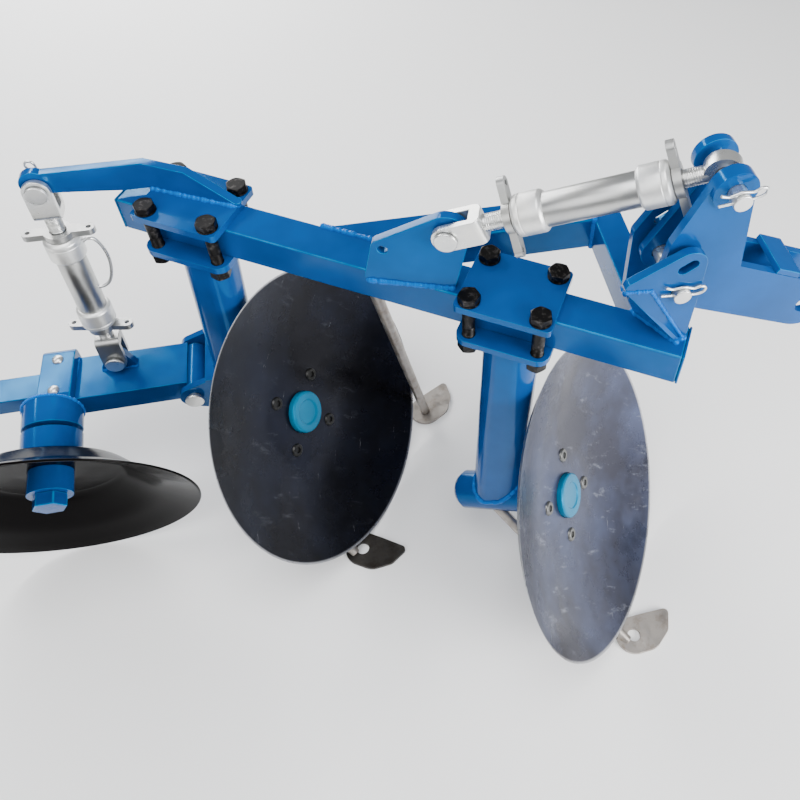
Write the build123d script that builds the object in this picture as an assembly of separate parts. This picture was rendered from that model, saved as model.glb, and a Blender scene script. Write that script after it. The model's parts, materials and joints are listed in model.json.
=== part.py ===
from build123d import *
import math
import os

# Disc plough, two discs and a tail wheel, as it parks
# Units mm. +X is the way it travels, +Y its left side, +Z up, floor at Z 0

# Driving dimensions of the frame
BEAM_TURN = -31.0          # the beam runs forward and to the right
BEAM_SIZE = 50.0
BEAM_WALL = 5.0
BEAM_TOP = 567.0
BEAM_FROM = -103.0         # along the beam, from the rear clamp
BEAM_TO = 647.0
BEAM_Y = -5.0              # beam's centre line across its own run
CAP = 3.0
LONG_TUBE = (150.0, 503.0, -121.0, -71.0)    # x from and to, y from and to
CROSS_TUBE = (503.0, 541.0, -330.0, -71.0)
CROSS_WALL = 4.0
UNIT_PITCH = 434.6         # from the rear clamp to the front clamp

# Clamps and their bolts
PLATE = (120.0, 102.0, 10.0)
PLATE_CORNER = (6.0, 16.0)  # of the top plate and the bottom plate
BOLT_PITCH = (88.0, 74.0)
BOLT_D = 16.0
BOLT_HOLE = 17.0
HEAD_AF = 24.0
HEAD_H = 10.0
NUT_H = 13.0
BOLT_END = 18.0             # below the bottom plate

# Legs and bearing housings
LEG_SIZE = (72.0, 60.0)
LEG_ROUND = 27.0
LEG_WALL = 6.0
LEG_TOP = (3.0, -6.0, 507.0)
LEG_LOW = (2.0, -30.0, 130.0)
HOUSING_R = 30.0
HOUSING_BORE_R = 20.0
HOUSING_FROM = -86.0       # along the disc's axis, from the rim plane
HOUSING_TO = -236.0
HOUSING_LIP = 5.0
HOUSING_END = 24.0         # of solid metal behind the bore
HOUSING_NOSE = ((14.0, 0.0), (4.0, 7.0), (0.0, 16.0))  # from the end, and stepped in

# Discs
DISC_R = 230.0
DISC_TILT = 26.4
DISC_DEPTH = 46.0
DISC_THICK = 5.0
DISC_FLAT_R = 76.0
DISC_X = 152.0
DISC_Y = -31.0
DISC_Z = DISC_R * math.cos(math.radians(DISC_TILT))
HUB_CAP_R = 33.0
DISC_EYE_R = 34.0
DISC_STEPS = 9
DISH_POWER = 1.6           # how the dish steepens towards the rim
SPINDLE_R = 19.0
HUB_FLANGE = 9.0
HUB_NECK = (40.0, 34.0)    # radius at the flange and at the housing
CAP_RISE = 9.0
CAP_EDGE = 3.0
RIM_EDGE = (3.0, 6.0)      # bevel of the rim, along the axis and inwards

# Tail wheel and its arm
TAIL_R = 205.0
TAIL_TILT = 12.4
TAIL_C = (-284.0, -194.0, TAIL_R * math.cos(math.radians(TAIL_TILT)))
TAIL_HUB_R = 42.0
TAIL_SPIGOT_R = 31.0
TAIL_NUT_AF = 42.0
ARM_PIVOT = (-80.0, 5.0, 222.0)
ARM_W = 80.0
ARM_UP = 21.0
ARM_DOWN = 19.0
ARM_BACK = -252.0
BLOCK = (48.0, 100.0, 66.0)
BLOCK_C = (-276.0, 5.0, 228.0)
BLOCK_ROUND = 12.0
BUSH_R = 17.0
EAR_T = 10.0               # ears of the bracket
EAR_CLEAR = 5.0            # from the arm to an ear
STUB = (90.0, 44.0)
STUB_WALL = 4.0
SEAT = (121.0, 175.0)      # along the wheel's axis
TAIL_SPINDLE_R = 17.0

# Headstock
HEAD_Y = -286.0
HEAD_PIVOT = (527.0, 650.0)
HEAD_EAR = (562.0, 779.0)
HEAD_NOSE = (705.0, 576.0)
CHEEK = 10.0
NOSE_R = 36.0
CHEEK_GAP = 38.0
EAR_R = 24.0
EAR_BOSS = 5.0
LUG_T = 12.0
HEAD_LUG_T = 10.0
LUG_GAP = 5.0              # from a cheek to the lug beside it
PIN_R = 10.0
HITCH_BORE_R = 12.5
LUG_FOOT = ((504.0, 4.0), (546.0, 4.0))      # x and radius of the lugs' lower corners
LUG_HEAD = (529.0, 690.0, 20.0)
LUG_CORNERS = ((471.0, 667.0, 9.0), (508.0, 668.0, 12.0))  # left corner of the near lug and the far lug
LUG_EYE_R = 22.0
LUG_SLOT = (528.0, 689.0, 36.0)              # place and turn
CHEEK_PIVOT_R = 24.0
CHEEK_KNEE = (572.0, 642.0, 30.0)
CHEEK_BULGE = (538.0, 702.0, 29.0)
CHEEK_NECK = (566.0, 745.0, 14.0)
CHEEK_ROOT = (578.0, 632.0)
SPACER = (566.0, 632.0, 14.0, 60.0)          # place, thickness and height
STRIP = (34.0, 8.0)
STRIP_AT = 0.56                              # along the nose
GUSSET_T = 5.0
PIN_HEAD = 5.0
HEAD_PIN_OUT = 8.0        # past the near lug
EAR_PIN_OUT = 18.0        # past the near ear

# Lug of the top link: circles along and above the beam, and its small hole
TOP_LUG = ((0.0, 89.0, 26.0), (-95.0, 6.0, 6.0), (4.0, 6.0, 6.0), (-80.0, 57.0, 10.0))
TOP_LUG_HOLE = (-76.0, 54.0, 6.0)

# Bent bar of the tail link
BAR_T = 12.0
BAR_H = 40.0
BAR_BEND_X = -56.0
BAR_FRONT = (57.0, 10.0)   # on the beam
BAR_SLOPE = (-6.0, 56.0)   # from and to, on the beam
BAR_END = 5.0              # height at the slope's end
BAR_TAPER = (-86.0, 9.0)   # where it starts and how much it takes off
BAR_EYE_R = 19.0

# Turnbuckles, from the fork's pin to the far pin
TOP_FROM = (296.0, -198.0, 656.0)
TOP_TO = (HEAD_EAR[0], HEAD_Y, HEAD_EAR[1])
TAIL_FROM = (-187.0, 36.0, 594.0)
TAIL_TO = (-188.0, 18.0, 268.0)
LINK_PIN_R = 9.5
FORK_TONGUE = 38.0
FORK_R = 17.0
FORK_BEND = 9.0
FORK_GAP = 16.0
FORK_ARM = 8.0
ROD_END_GAP = 1.5          # round the pin where the linkage is opened
EYE_R = 20.0
EYE_W = 16.0
BARREL_FROM = 82.0
TOP_BARREL_LEFT = 50.0     # from the barrel to the far pin
TAIL_BARREL_LEFT = 76.0
COLLAR_R = 24.0
COLLAR_L = 36.0
TUBE_R = 19.5
THREAD_R = 9.5
BARREL_BORE_R = 11.0
WING_R = 19.0
WING_T = 9.0
WING_SPAN = 92.0
WING_HOLE_R = 3.2
WING_W = 16.0
TOP_TURNS = (-32.0, -12.0)
TAIL_TURNS = (0.0, 10.0)
HOLE_GAP = 0.5             # round a pin

# Feet
FOOT_HOLE_R = 10.0
REAR_FOOT = (138.5, -245.6, -15.7)   # place of the hole and turn of the tip
FRONT_FOOT = (533.0, -471.0, 19.5)
PROP_FOOT = (282.0, 3.0, 46.0)
FOOT_T = 6.0
LEAF = ((0.0, 0.0, 28.0), (18.0, -5.0, 28.0), (40.0, -7.0, 18.0), (62.0, 3.0, 7.0))
PROP_ON_BEAM = 243.0
STRUT_FROM = (-160.0, -20.0, -14.0)          # along the disc's axis, across and down
STRUT_HEEL = (-18.0, 2.0)
ROD_R = 8.0

# The whole is moved so that its box stands centred on the origin
SHIFT = (-(HEAD_NOSE[0] + NOSE_R + TAIL_C[0] - TAIL_R) / 2,
         -((DISC_X + UNIT_PITCH / 2) * math.sin(math.radians(BEAM_TURN))
           + DISC_Y * math.cos(math.radians(BEAM_TURN))), 0.0)

OUT = "parts"
os.makedirs(OUT, exist_ok=True)

beam_frame = Location((0, 0, 0), (0, 0, BEAM_TURN))
BEAM_LOW = BEAM_TOP - BEAM_SIZE
HALF = BEAM_SIZE / 2
COS = math.cos(math.radians(BEAM_TURN))
SIN = math.sin(math.radians(BEAM_TURN))


def save(name, *solids):
    flat = []
    for s in solids:
        flat.extend(s.solids())
    moved = [s.moved(Location(SHIFT)) for s in flat]
    whole = moved[0] if len(moved) == 1 else Compound(children=moved)
    whole.label = name
    export_step(whole, os.path.join(OUT, name + ".step"))


def on_beam(x, y, z):
    """A point given along the beam, in the machine's frame."""
    return (x * COS - y * SIN, x * SIN + y * COS, z)


def box(x0, x1, y0, y1, z0, z1):
    return Pos((x0 + x1) / 2, (y0 + y1) / 2, (z0 + z1) / 2) * Box(x1 - x0, y1 - y0, z1 - z0)


def rod(p, q, r):
    p, q = Vector(*p), Vector(*q)
    d = q - p
    return Solid.extrude(Plane(p, z_dir=d) * Circle(r).face(), d)


def cross(x, z, y0, y1, r):
    """A round bar across the machine."""
    return rod((x, y0, z), (x, y1, z), r)


def side_plate(sketch, y0, y1):
    """A plate that stands along the travel direction, drawn as x and z."""
    plane = Plane(origin=(0, y1, 0), x_dir=(1, 0, 0), z_dir=(0, -1, 0))
    return extrude(plane * sketch, y1 - y0)


def hull(*circles):
    edges = []
    for x, z, r in circles:
        edges.extend((Pos(x, z) * Circle(r)).edges())
    return make_hull(edges)


def turned(points, at, axis):
    """A solid of revolution, drawn as distance along the axis and radius."""
    face = make_face(Polyline([(r, a) for a, r in points], close=True))
    plane = Plane(origin=at, z_dir=axis)
    ring = revolve(Plane.XZ * face, Axis.Z)
    return plane.location * ring


# Main beam with its end caps
beam = box(BEAM_FROM + CAP, BEAM_TO - CAP, BEAM_Y - HALF, BEAM_Y + HALF, BEAM_LOW, BEAM_TOP)
inner = HALF - BEAM_WALL
beam -= box(BEAM_FROM, BEAM_TO, BEAM_Y - inner, BEAM_Y + inner, BEAM_LOW + BEAM_WALL, BEAM_TOP - BEAM_WALL)
save("main_beam", beam_frame * beam)
caps = [box(x, x + CAP, BEAM_Y - HALF, BEAM_Y + HALF, BEAM_LOW, BEAM_TOP) for x in (BEAM_FROM, BEAM_TO - CAP)]
save("beam_end_caps", *[beam_frame * c for c in caps])

# Long tube behind the headstock and the cross tube that joins it to the beam
def tube(x0, x1, y0, y1, wall, ends_x, ends_y):
    """A square tube on the beam's level; the ends are how far the hollow runs past or stops short."""
    hollow = box(x0 - ends_x, x1 + ends_x, y0 - ends_y, y1 + ends_y, BEAM_LOW + wall, BEAM_TOP - wall)
    return box(x0, x1, y0, y1, BEAM_LOW, BEAM_TOP) - hollow


right_of_beam = beam_frame * box(-200, 900, -500, BEAM_Y + HALF, BEAM_LOW - 100, BEAM_TOP + 100)
long_tube = tube(*LONG_TUBE, BEAM_WALL, 1, -BEAM_WALL) - right_of_beam
save("long_tube", long_tube.solids().sort_by(Axis.X)[-1])
cross_tube = tube(*CROSS_TUBE, CROSS_WALL, -CROSS_WALL, -CROSS_WALL) - right_of_beam
cross_tube = cross_tube.solids().sort_by(Axis.Y)[-1]
save("cross_tube", cross_tube)

# Clamp plates, bolts, legs, housings, discs: one unit, placed twice
axis_n = (math.cos(math.radians(DISC_TILT)), 0, math.sin(math.radians(DISC_TILT)))


def disc_point(a):
    return (DISC_X + axis_n[0] * a, DISC_Y, DISC_Z + axis_n[2] * a)


def bolt_spots():
    for sx in (-1, 1):
        for sy in (-1, 1):
            yield sx * BOLT_PITCH[0] / 2, BEAM_Y + sy * BOLT_PITCH[1] / 2


def clamp_plate(z, corner):
    p = Pos(0, BEAM_Y, z) * extrude(RectangleRounded(PLATE[0], PLATE[1], corner), PLATE[2])
    for x, y in bolt_spots():
        p -= Pos(x, y, z + PLATE[2] / 2) * Cylinder(BOLT_HOLE / 2, PLATE[2] * 2)
    return p


def clamp_bolt(x, y):
    low = BEAM_LOW - PLATE[2]
    high = BEAM_TOP + PLATE[2]
    b = Pos(x, y, low - BOLT_END) * extrude(Circle(BOLT_D / 2), high - low + BOLT_END)
    b += Pos(x, y, high) * extrude(RegularPolygon(HEAD_AF / 2, 6, major_radius=False), HEAD_H)
    b += Pos(x, y, low - NUT_H) * extrude(RegularPolygon(HEAD_AF / 2, 6, major_radius=False), NUT_H)
    return b


leg_axis = Vector(*LEG_TOP) - Vector(*LEG_LOW)
leg_plane = Plane(origin=LEG_LOW, x_dir=(1, 0, 0), z_dir=leg_axis)
housing_solid = turned([(HOUSING_FROM, 0), (HOUSING_FROM, HOUSING_R)]
                       + [(HOUSING_TO + a, HOUSING_R - r) for a, r in HOUSING_NOSE] + [(HOUSING_TO, 0)],
                       (DISC_X, DISC_Y, DISC_Z), axis_n)
leg_out = extrude(leg_plane * RectangleRounded(LEG_SIZE[0], LEG_SIZE[1], LEG_ROUND), leg_axis.length + 30)
leg_in = extrude(leg_plane * RectangleRounded(LEG_SIZE[0] - 2 * LEG_WALL, LEG_SIZE[1] - 2 * LEG_WALL,
                                              LEG_ROUND - LEG_WALL), leg_axis.length + 30)
above = box(-200, 200, -200, 200, BEAM_LOW - PLATE[2], 800)
leg = leg_out - leg_in - above - housing_solid
leg = leg.solids().sort_by(Axis.Z)[-1]
mouth = HOUSING_FROM + HOUSING_LIP
bore_end = HOUSING_TO + HOUSING_END
housing = housing_solid - turned([(mouth, 0), (mouth, HOUSING_BORE_R), (bore_end, HOUSING_BORE_R), (bore_end, 0)],
                                 (DISC_X, DISC_Y, DISC_Z), axis_n)

# Dished disc: flat middle, round dish, bevelled rim
rise = DISC_DEPTH
run = DISC_R - DISC_FLAT_R
dish = []
back = []
for i in range(DISC_STEPS + 1):
    t = i / DISC_STEPS
    dish.append((-rise + rise * t ** DISH_POWER, DISC_FLAT_R + run * t))
    back.append((-rise - DISC_THICK + rise * t ** DISH_POWER, DISC_FLAT_R + run * t))
back[-1] = (-RIM_EDGE[0], DISC_R - RIM_EDGE[1])
disc_points = [(-rise, DISC_EYE_R)] + dish + list(reversed(back)) + [(-rise - DISC_THICK, DISC_EYE_R)]
disc_ring = turned(disc_points, (DISC_X, DISC_Y, DISC_Z), axis_n)
rear_face = -rise - DISC_THICK
hub_points = [(rear_face, 0), (rear_face, DISC_FLAT_R), (rear_face - HUB_FLANGE, DISC_FLAT_R),
              (rear_face - HUB_FLANGE - 5, HUB_NECK[0]), (mouth, HUB_NECK[1]), (mouth, SPINDLE_R),
              (bore_end + 6, SPINDLE_R), (bore_end + 6, 0)]
hub = turned(hub_points, (DISC_X, DISC_Y, DISC_Z), axis_n)
cap_top = -rise + CAP_RISE
hub_cap = turned([(rear_face, 0), (rear_face, HUB_CAP_R), (cap_top - CAP_EDGE, HUB_CAP_R),
                  (cap_top, HUB_CAP_R - CAP_EDGE), (cap_top, 0)], (DISC_X, DISC_Y, DISC_Z), axis_n)


for unit, dx in (("rear", 0.0), ("front", UNIT_PITCH)):
    at = beam_frame * Pos(dx, 0, 0)
    save(unit + "_clamp_top", at * clamp_plate(BEAM_TOP, PLATE_CORNER[0]))
    save(unit + "_clamp_bottom", at * clamp_plate(BEAM_LOW - PLATE[2], PLATE_CORNER[1]))
    save(unit + "_clamp_bolts", *[at * clamp_bolt(x, y) for x, y in bolt_spots()])
    save(unit + "_leg", at * leg)
    save(unit + "_housing", at * housing)
    save(unit + "_disc", at * disc_ring)
    save(unit + "_disc_hub", at * hub)
    save(unit + "_disc_cap", at * hub_cap)

# Lug for the top link, standing on the beam and turned into the link's plane
link_flat = Vector(TOP_TO[0] - TOP_FROM[0], TOP_TO[1] - TOP_FROM[1], 0).normalized()
link_side = Vector(-link_flat.Y, link_flat.X, 0)
lug_plane = Plane(origin=(TOP_FROM[0], TOP_FROM[1], 0), x_dir=link_flat, z_dir=(link_flat.Y, -link_flat.X, 0))
lug_sketch = hull(*[(x, BEAM_TOP + z, r) for x, z, r in TOP_LUG])
lug_sketch = lug_sketch - Pos(0, TOP_FROM[2]) * Circle(LINK_PIN_R + HOLE_GAP)
lug_sketch = lug_sketch - Pos(TOP_LUG_HOLE[0], BEAM_TOP + TOP_LUG_HOLE[1]) * Circle(TOP_LUG_HOLE[2])
lug = extrude(lug_plane * lug_sketch, LUG_T / 2, both=True)
save("top_link_lug", lug)
pin_half = FORK_GAP / 2 + FORK_ARM + 1
lug_pin = rod(Vector(*TOP_FROM) - link_side * pin_half, Vector(*TOP_FROM) + link_side * pin_half, LINK_PIN_R)
head_at = Vector(*TOP_FROM) - link_side * (pin_half + 4)
lug_pin += rod(head_at, Vector(*TOP_FROM) - link_side * pin_half, LINK_PIN_R + 4)
save("top_link_pin", lug_pin)

# Bent bar from the rear clamp to the tail link
bar_y = TAIL_FROM[1]
bar_z0 = BEAM_TOP + PLATE[2]
bar_z1 = bar_z0 + BAR_H
front_end = on_beam(*BAR_FRONT, 0)
mid_line = Polyline([(TAIL_FROM[0], bar_y), (BAR_BEND_X, bar_y), (front_end[0], front_end[1])])
bar_face = make_face(offset(mid_line, BAR_T / 2, kind=Kind.INTERSECTION).edges())
bar = Pos(0, 0, bar_z0) * extrude(bar_face, BAR_H)
low_end = bar_z0 + BAR_END
slope = Plane.XZ * make_face(Polyline([(BAR_SLOPE[0], bar_z1), (BAR_SLOPE[1], low_end), (90, low_end),
                                       (90, bar_z1 + 40), (BAR_SLOPE[0], bar_z1 + 40)], close=True))
bar -= beam_frame * extrude(slope, 60, both=True)
taper_x, taper_z = BAR_TAPER[0], bar_z0 + BAR_TAPER[1]
taper = Plane.XZ * make_face(Polyline([(TAIL_FROM[0] - 30, bar_z0 - 5), (taper_x + 6, bar_z0 - 5), (taper_x, bar_z0),
                                       (TAIL_FROM[0] + 12, taper_z), (TAIL_FROM[0] - 30, taper_z)], close=True))
bar -= extrude(taper, 200, both=True)
bar += side_plate(Pos(TAIL_FROM[0], TAIL_FROM[2] + 7) * Circle(BAR_EYE_R), bar_y - BAR_T / 2, bar_y + BAR_T / 2)
bar -= cross(TAIL_FROM[0], TAIL_FROM[2], bar_y - 20, bar_y + 20, LINK_PIN_R + HOLE_GAP)
save("tail_bar", bar)
tail_top_pin = cross(TAIL_FROM[0], TAIL_FROM[2], bar_y - pin_half, bar_y + pin_half + 4, LINK_PIN_R)
tail_top_pin += cross(TAIL_FROM[0], TAIL_FROM[2], bar_y - pin_half - 4, bar_y - pin_half, LINK_PIN_R + 4)
save("tail_link_top_pin", tail_top_pin)

# Lugs that carry the headstock's lower pin
near_y = HEAD_Y - CHEEK_GAP / 2 - CHEEK - LUG_GAP
far_y = HEAD_Y + CHEEK_GAP / 2 + CHEEK + LUG_GAP


def lug_outline(corner):
    sketch = hull((HEAD_PIVOT[0] + 1, HEAD_PIVOT[1], LUG_EYE_R), *[(x, BEAM_TOP + r, r) for x, r in LUG_FOOT],
                  LUG_HEAD, corner)
    sketch -= Pos(LUG_SLOT[0], LUG_SLOT[1]) * Rot(0, 0, LUG_SLOT[2]) * SlotOverall(24, 12)
    return sketch - Pos(*HEAD_PIVOT) * Circle(PIN_R + HOLE_GAP)


open_corner = make_face(Polyline([(440, BEAM_TOP), (537, BEAM_TOP), (461, 664), (440, 664)], close=True))
near_lug = side_plate(lug_outline(LUG_CORNERS[0]) - open_corner, near_y - HEAD_LUG_T, near_y)
save("headstock_near_lug", near_lug)
save("headstock_far_lug", side_plate(lug_outline(LUG_CORNERS[1]), far_y, far_y + HEAD_LUG_T))
gusset_foot = (503.0, near_y + 38, BEAM_TOP)
gusset_toe = (537.0, near_y - HEAD_LUG_T - 4, BEAM_TOP)
gusset_tip = (464.0, near_y - HEAD_LUG_T + 2, 659.0)
gusset_wire = Polyline([gusset_foot, gusset_toe, gusset_tip], close=True)
gusset = extrude(make_face(gusset_wire), GUSSET_T, dir=(0.86, 0.4, 0.3)) - near_lug
gusset -= box(400, 700, -500, -200, BEAM_LOW, BEAM_TOP)
save("headstock_gusset", gusset.solids().sort_by(SortBy.VOLUME)[-1])
pin_end = far_y + HEAD_LUG_T + 4
head_pin = cross(HEAD_PIVOT[0], HEAD_PIVOT[1], near_y - HEAD_LUG_T - HEAD_PIN_OUT, pin_end, PIN_R)
head_pin += cross(HEAD_PIVOT[0], HEAD_PIVOT[1], pin_end, pin_end + PIN_HEAD, PIN_R + PIN_HEAD)
save("headstock_pin", head_pin)


# Headstock: two cheeks, spacer, strip, ear pin
def cheek(*upper):
    ear = Pos(*HEAD_EAR) * Circle(EAR_R)
    sketch = ear + hull((HEAD_PIVOT[0], HEAD_PIVOT[1], CHEEK_PIVOT_R), CHEEK_KNEE, *upper)
    sketch += hull((*CHEEK_ROOT, NOSE_R), (*HEAD_NOSE, NOSE_R))
    sketch -= Pos(*HEAD_EAR) * Circle(PIN_R + HOLE_GAP)
    sketch -= Pos(*HEAD_PIVOT) * Circle(PIN_R + 1)
    return sketch - Pos(*HEAD_NOSE) * Circle(HITCH_BORE_R)


y0 = HEAD_Y - CHEEK_GAP / 2
y1 = HEAD_Y + CHEEK_GAP / 2
ear_ring = Pos(*HEAD_EAR) * (Circle(EAR_R) - Circle(PIN_R + HOLE_GAP))
near_cheek = side_plate(cheek((*HEAD_EAR, EAR_R), CHEEK_BULGE), y0 - CHEEK, y0)
save("headstock_near_cheek", near_cheek + side_plate(ear_ring, y0 - CHEEK - EAR_BOSS, y0 - CHEEK))
save("headstock_far_cheek", side_plate(cheek(CHEEK_NECK), y1, y1 + CHEEK))
spacer = side_plate(Pos(SPACER[0], SPACER[1]) * Rot(0, 0, 10) * Rectangle(SPACER[2], SPACER[3]), y0, y1)
save("headstock_spacer", spacer)
nose_run = (HEAD_NOSE[0] - CHEEK_ROOT[0], HEAD_NOSE[1] - CHEEK_ROOT[1])
slope_deg = math.degrees(math.atan2(nose_run[1], nose_run[0]))
mid = (CHEEK_ROOT[0] + STRIP_AT * nose_run[0], CHEEK_ROOT[1] + STRIP_AT * nose_run[1])
strip_sketch = Pos(*mid) * Rot(0, 0, slope_deg) * Pos(0, NOSE_R + STRIP[1] / 2) * Rectangle(*STRIP)
save("headstock_strip", side_plate(strip_sketch, y0 - CHEEK, y1 + CHEEK))
ear_end = y1 + CHEEK + 2
ear_pin = cross(HEAD_EAR[0], HEAD_EAR[1], y0 - CHEEK - EAR_BOSS - EAR_PIN_OUT, ear_end, PIN_R)
ear_pin += cross(HEAD_EAR[0], HEAD_EAR[1], ear_end, ear_end + PIN_HEAD, PIN_R + PIN_HEAD)
save("top_link_ear_pin", ear_pin)


# Turnbuckles: fork with rod, barrel, two winged lock nuts, far rod with eye or fork
def link_plane(p, q, side):
    p, q = Vector(*p), Vector(*q)
    u = (q - p).normalized()
    w = u.cross(side).normalized()
    return Plane(origin=p, x_dir=u, z_dir=w), (q - p).length


def bar_x(x0, x1, r):
    return Pos(x0, 0, 0) * Rot(0, 90, 0) * extrude(Circle(r), x1 - x0)


def fork():
    half = FORK_GAP / 2
    base = FORK_TONGUE + 8
    outline = Circle(FORK_R) + Pos(base / 2, 0) * Rectangle(base, 2 * FORK_R)
    face = Plane(origin=(0, half + FORK_ARM, 0), x_dir=(1, 0, 0), z_dir=(0, -1, 0))
    block = extrude(face * outline, FORK_GAP + 2 * FORK_ARM)
    bends = [e for e in block.edges().filter_by(Axis.Z) if e.center().X > base - 1]
    return fillet(bends, FORK_BEND) - box(-30, FORK_TONGUE - 6, -half, half, -30, 30)


def wing_nut(x, turn):
    wings = SlotOverall(WING_SPAN, WING_W)
    for sx in (-1, 1):
        wings -= Pos(sx * (WING_SPAN - WING_W) / 2, 0) * Circle(WING_HOLE_R)
    outline = Circle(WING_R) + Rot(0, 0, 90 + turn) * wings - Circle(BARREL_BORE_R)
    return Pos(x, 0, 0) * extrude(Plane.YZ * outline, WING_T)


def barrel(x0, x1):
    c = 2.0
    half = [(x0, COLLAR_R - c), (x0 + c, COLLAR_R), (x0 + COLLAR_L - c, COLLAR_R), (x0 + COLLAR_L, COLLAR_R - c),
            (x0 + COLLAR_L, TUBE_R)]
    other = [(x0 + x1 - x, r) for x, r in reversed(half)]
    face = make_face(Polyline([(x0, BARREL_BORE_R)] + half + other + [(x1, BARREL_BORE_R)], close=True))
    return revolve(face, Axis.X)


def turnbuckle(name, p, q, side, far_eye, barrel_left, turns):
    plane, length = link_plane(p, q, side)
    loc = plane.location
    b0 = BARREL_FROM
    b1 = length - barrel_left
    reach = side * 40
    near_hole = rod(Vector(*p) - reach, Vector(*p) + reach, LINK_PIN_R + HOLE_GAP)
    save(name + "_fork", loc * (fork() + bar_x(FORK_TONGUE + 6, b0 + 30, THREAD_R)) - near_hole)
    save(name + "_barrel", loc * barrel(b0, b1))
    save(name + "_lock_nuts", loc * wing_nut(b0 - WING_T - 1, turns[0]), loc * wing_nut(b1 + 1, turns[1]))
    if far_eye:
        far_rod = bar_x(b1 - 40, length - EYE_R + 5, THREAD_R)
        eye = Pos(length, 0, 0) * (Rot(90, 0, 0) * Cylinder(EYE_R, EYE_W))
        hole = cross(q[0], q[2], q[1] - 40, q[1] + 40, PIN_R + ROD_END_GAP)
        save(name + "_rod", loc * (far_rod + eye) - hole)
    else:
        far_rod = bar_x(b1 - 40, length - FORK_TONGUE - 6, THREAD_R)
        turn = Pos(length, 0, 0) * Rot(0, 180, 0)
        hole = cross(q[0], q[2], q[1] - 40, q[1] + 40, LINK_PIN_R + ROD_END_GAP)
        save(name + "_rod", loc * (far_rod + turn * fork()) - hole)


turnbuckle("top_link", TOP_FROM, TOP_TO, link_side, True, TOP_BARREL_LEFT, TOP_TURNS)
turnbuckle("tail_link", TAIL_FROM, TAIL_TO, Vector(0, 1, 0), False, TAIL_BARREL_LEFT, TAIL_TURNS)

# Bracket for the tail arm on the rear leg
rear_leg_world = beam_frame * leg_out
bx, by, bz = ARM_PIVOT
half_w = ARM_W / 2
ear_out = half_w + EAR_CLEAR + EAR_T
bracket = box(bx + 23, bx + 50, by - ear_out, by + ear_out, bz - 38, bz + 38)
for sy in (-1, 1):
    ear = hull((bx, bz, 22), (bx + 36, bz + 24, 14), (bx + 36, bz - 24, 14))
    ear -= Pos(bx, bz) * Circle(PIN_R + HOLE_GAP)
    inner_y = by + sy * (half_w + EAR_CLEAR)
    outer_y = by + sy * ear_out
    bracket += side_plate(ear, min(inner_y, outer_y), max(inner_y, outer_y))
bracket -= rear_leg_world
bracket = bracket.solids().sort_by(SortBy.VOLUME)[-1]
save("tail_bracket", bracket)
arm_pin = cross(bx, bz, by - ear_out - 4, by + ear_out + 9, PIN_R)
arm_pin += cross(bx, bz, by - ear_out - 4 - PIN_HEAD, by - ear_out - 4, PIN_R + 4)
save("tail_arm_pin", arm_pin)

# Tail arm: tube with its bush, wheel block, spindle, lug, rear stub
bush = cross(bx, bz, by - half_w, by + half_w, BUSH_R) - cross(bx, bz, by - 60, by + 60, PIN_R + 1)
arm = box(ARM_BACK, bx, by - half_w, by + half_w, bz - ARM_DOWN, bz + ARM_UP)
arm -= box(ARM_BACK - 5, bx - 24, by - half_w + BEAM_WALL, by + half_w - BEAM_WALL, bz - ARM_DOWN + BEAM_WALL,
           bz + ARM_UP - BEAM_WALL)
arm -= cross(bx, bz, by - 60, by + 60, BUSH_R)
arm = arm - box(bx - 8, bx + 40, by - 60, by + 60, bz - 60, bz + 60)
save("tail_arm", arm.solids().sort_by(SortBy.VOLUME)[-1] + bush)
arm_top = bz + ARM_UP
arm_lug = hull((TAIL_TO[0], TAIL_TO[2], 16), (TAIL_TO[0] - 24, arm_top + 2, 2), (TAIL_TO[0] + 24, arm_top + 2, 2))
arm_lug -= Pos(TAIL_TO[0], TAIL_TO[2]) * Circle(LINK_PIN_R + HOLE_GAP)
lug_cut = box(-400, 0, -200, 200, 0, arm_top)
save("tail_arm_lug", side_plate(arm_lug, TAIL_TO[1] - LUG_T / 2, TAIL_TO[1] + LUG_T / 2) - lug_cut)
low_pin = cross(TAIL_TO[0], TAIL_TO[2], TAIL_TO[1] - pin_half - 1, TAIL_TO[1] + pin_half + 2, LINK_PIN_R)
low_pin += cross(TAIL_TO[0], TAIL_TO[2], TAIL_TO[1] - pin_half - 5, TAIL_TO[1] - pin_half - 1, LINK_PIN_R + 4)
save("tail_link_low_pin", low_pin)
block = Pos(*BLOCK_C) * Box(*BLOCK)
block = fillet(block.edges().filter_by(Axis.X), BLOCK_ROUND)
save("wheel_block", block)
tail_axis = (0, math.cos(math.radians(TAIL_TILT)), math.sin(math.radians(TAIL_TILT)))
seat = turned([(SEAT[0], 0), (SEAT[0], TAIL_HUB_R), (SEAT[1], TAIL_HUB_R), (SEAT[1], 0)], TAIL_C, tail_axis)
spindle = turned([(30, 0), (30, TAIL_SPINDLE_R), (SEAT[0], TAIL_SPINDLE_R), (SEAT[0], 0)], TAIL_C, tail_axis)
seat_cut = box(-400, 0, BLOCK_C[1] - BLOCK[1] / 2, 400, 0, 500)
save("tail_wheel_spindle", (seat + spindle) - seat_cut)
stub_x = BLOCK_C[0] - BLOCK[0] / 2
stub_half = STUB[1] / 2
stub = box(stub_x - STUB[0], stub_x, by - stub_half, by + stub_half, bz - 14, bz + 16)
stub -= box(stub_x - STUB[0] + BEAM_WALL, stub_x + 5, by - stub_half + STUB_WALL, by + stub_half - STUB_WALL,
            bz - 14 + STUB_WALL, bz + 16 - STUB_WALL)
save("tail_stub", stub)

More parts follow.
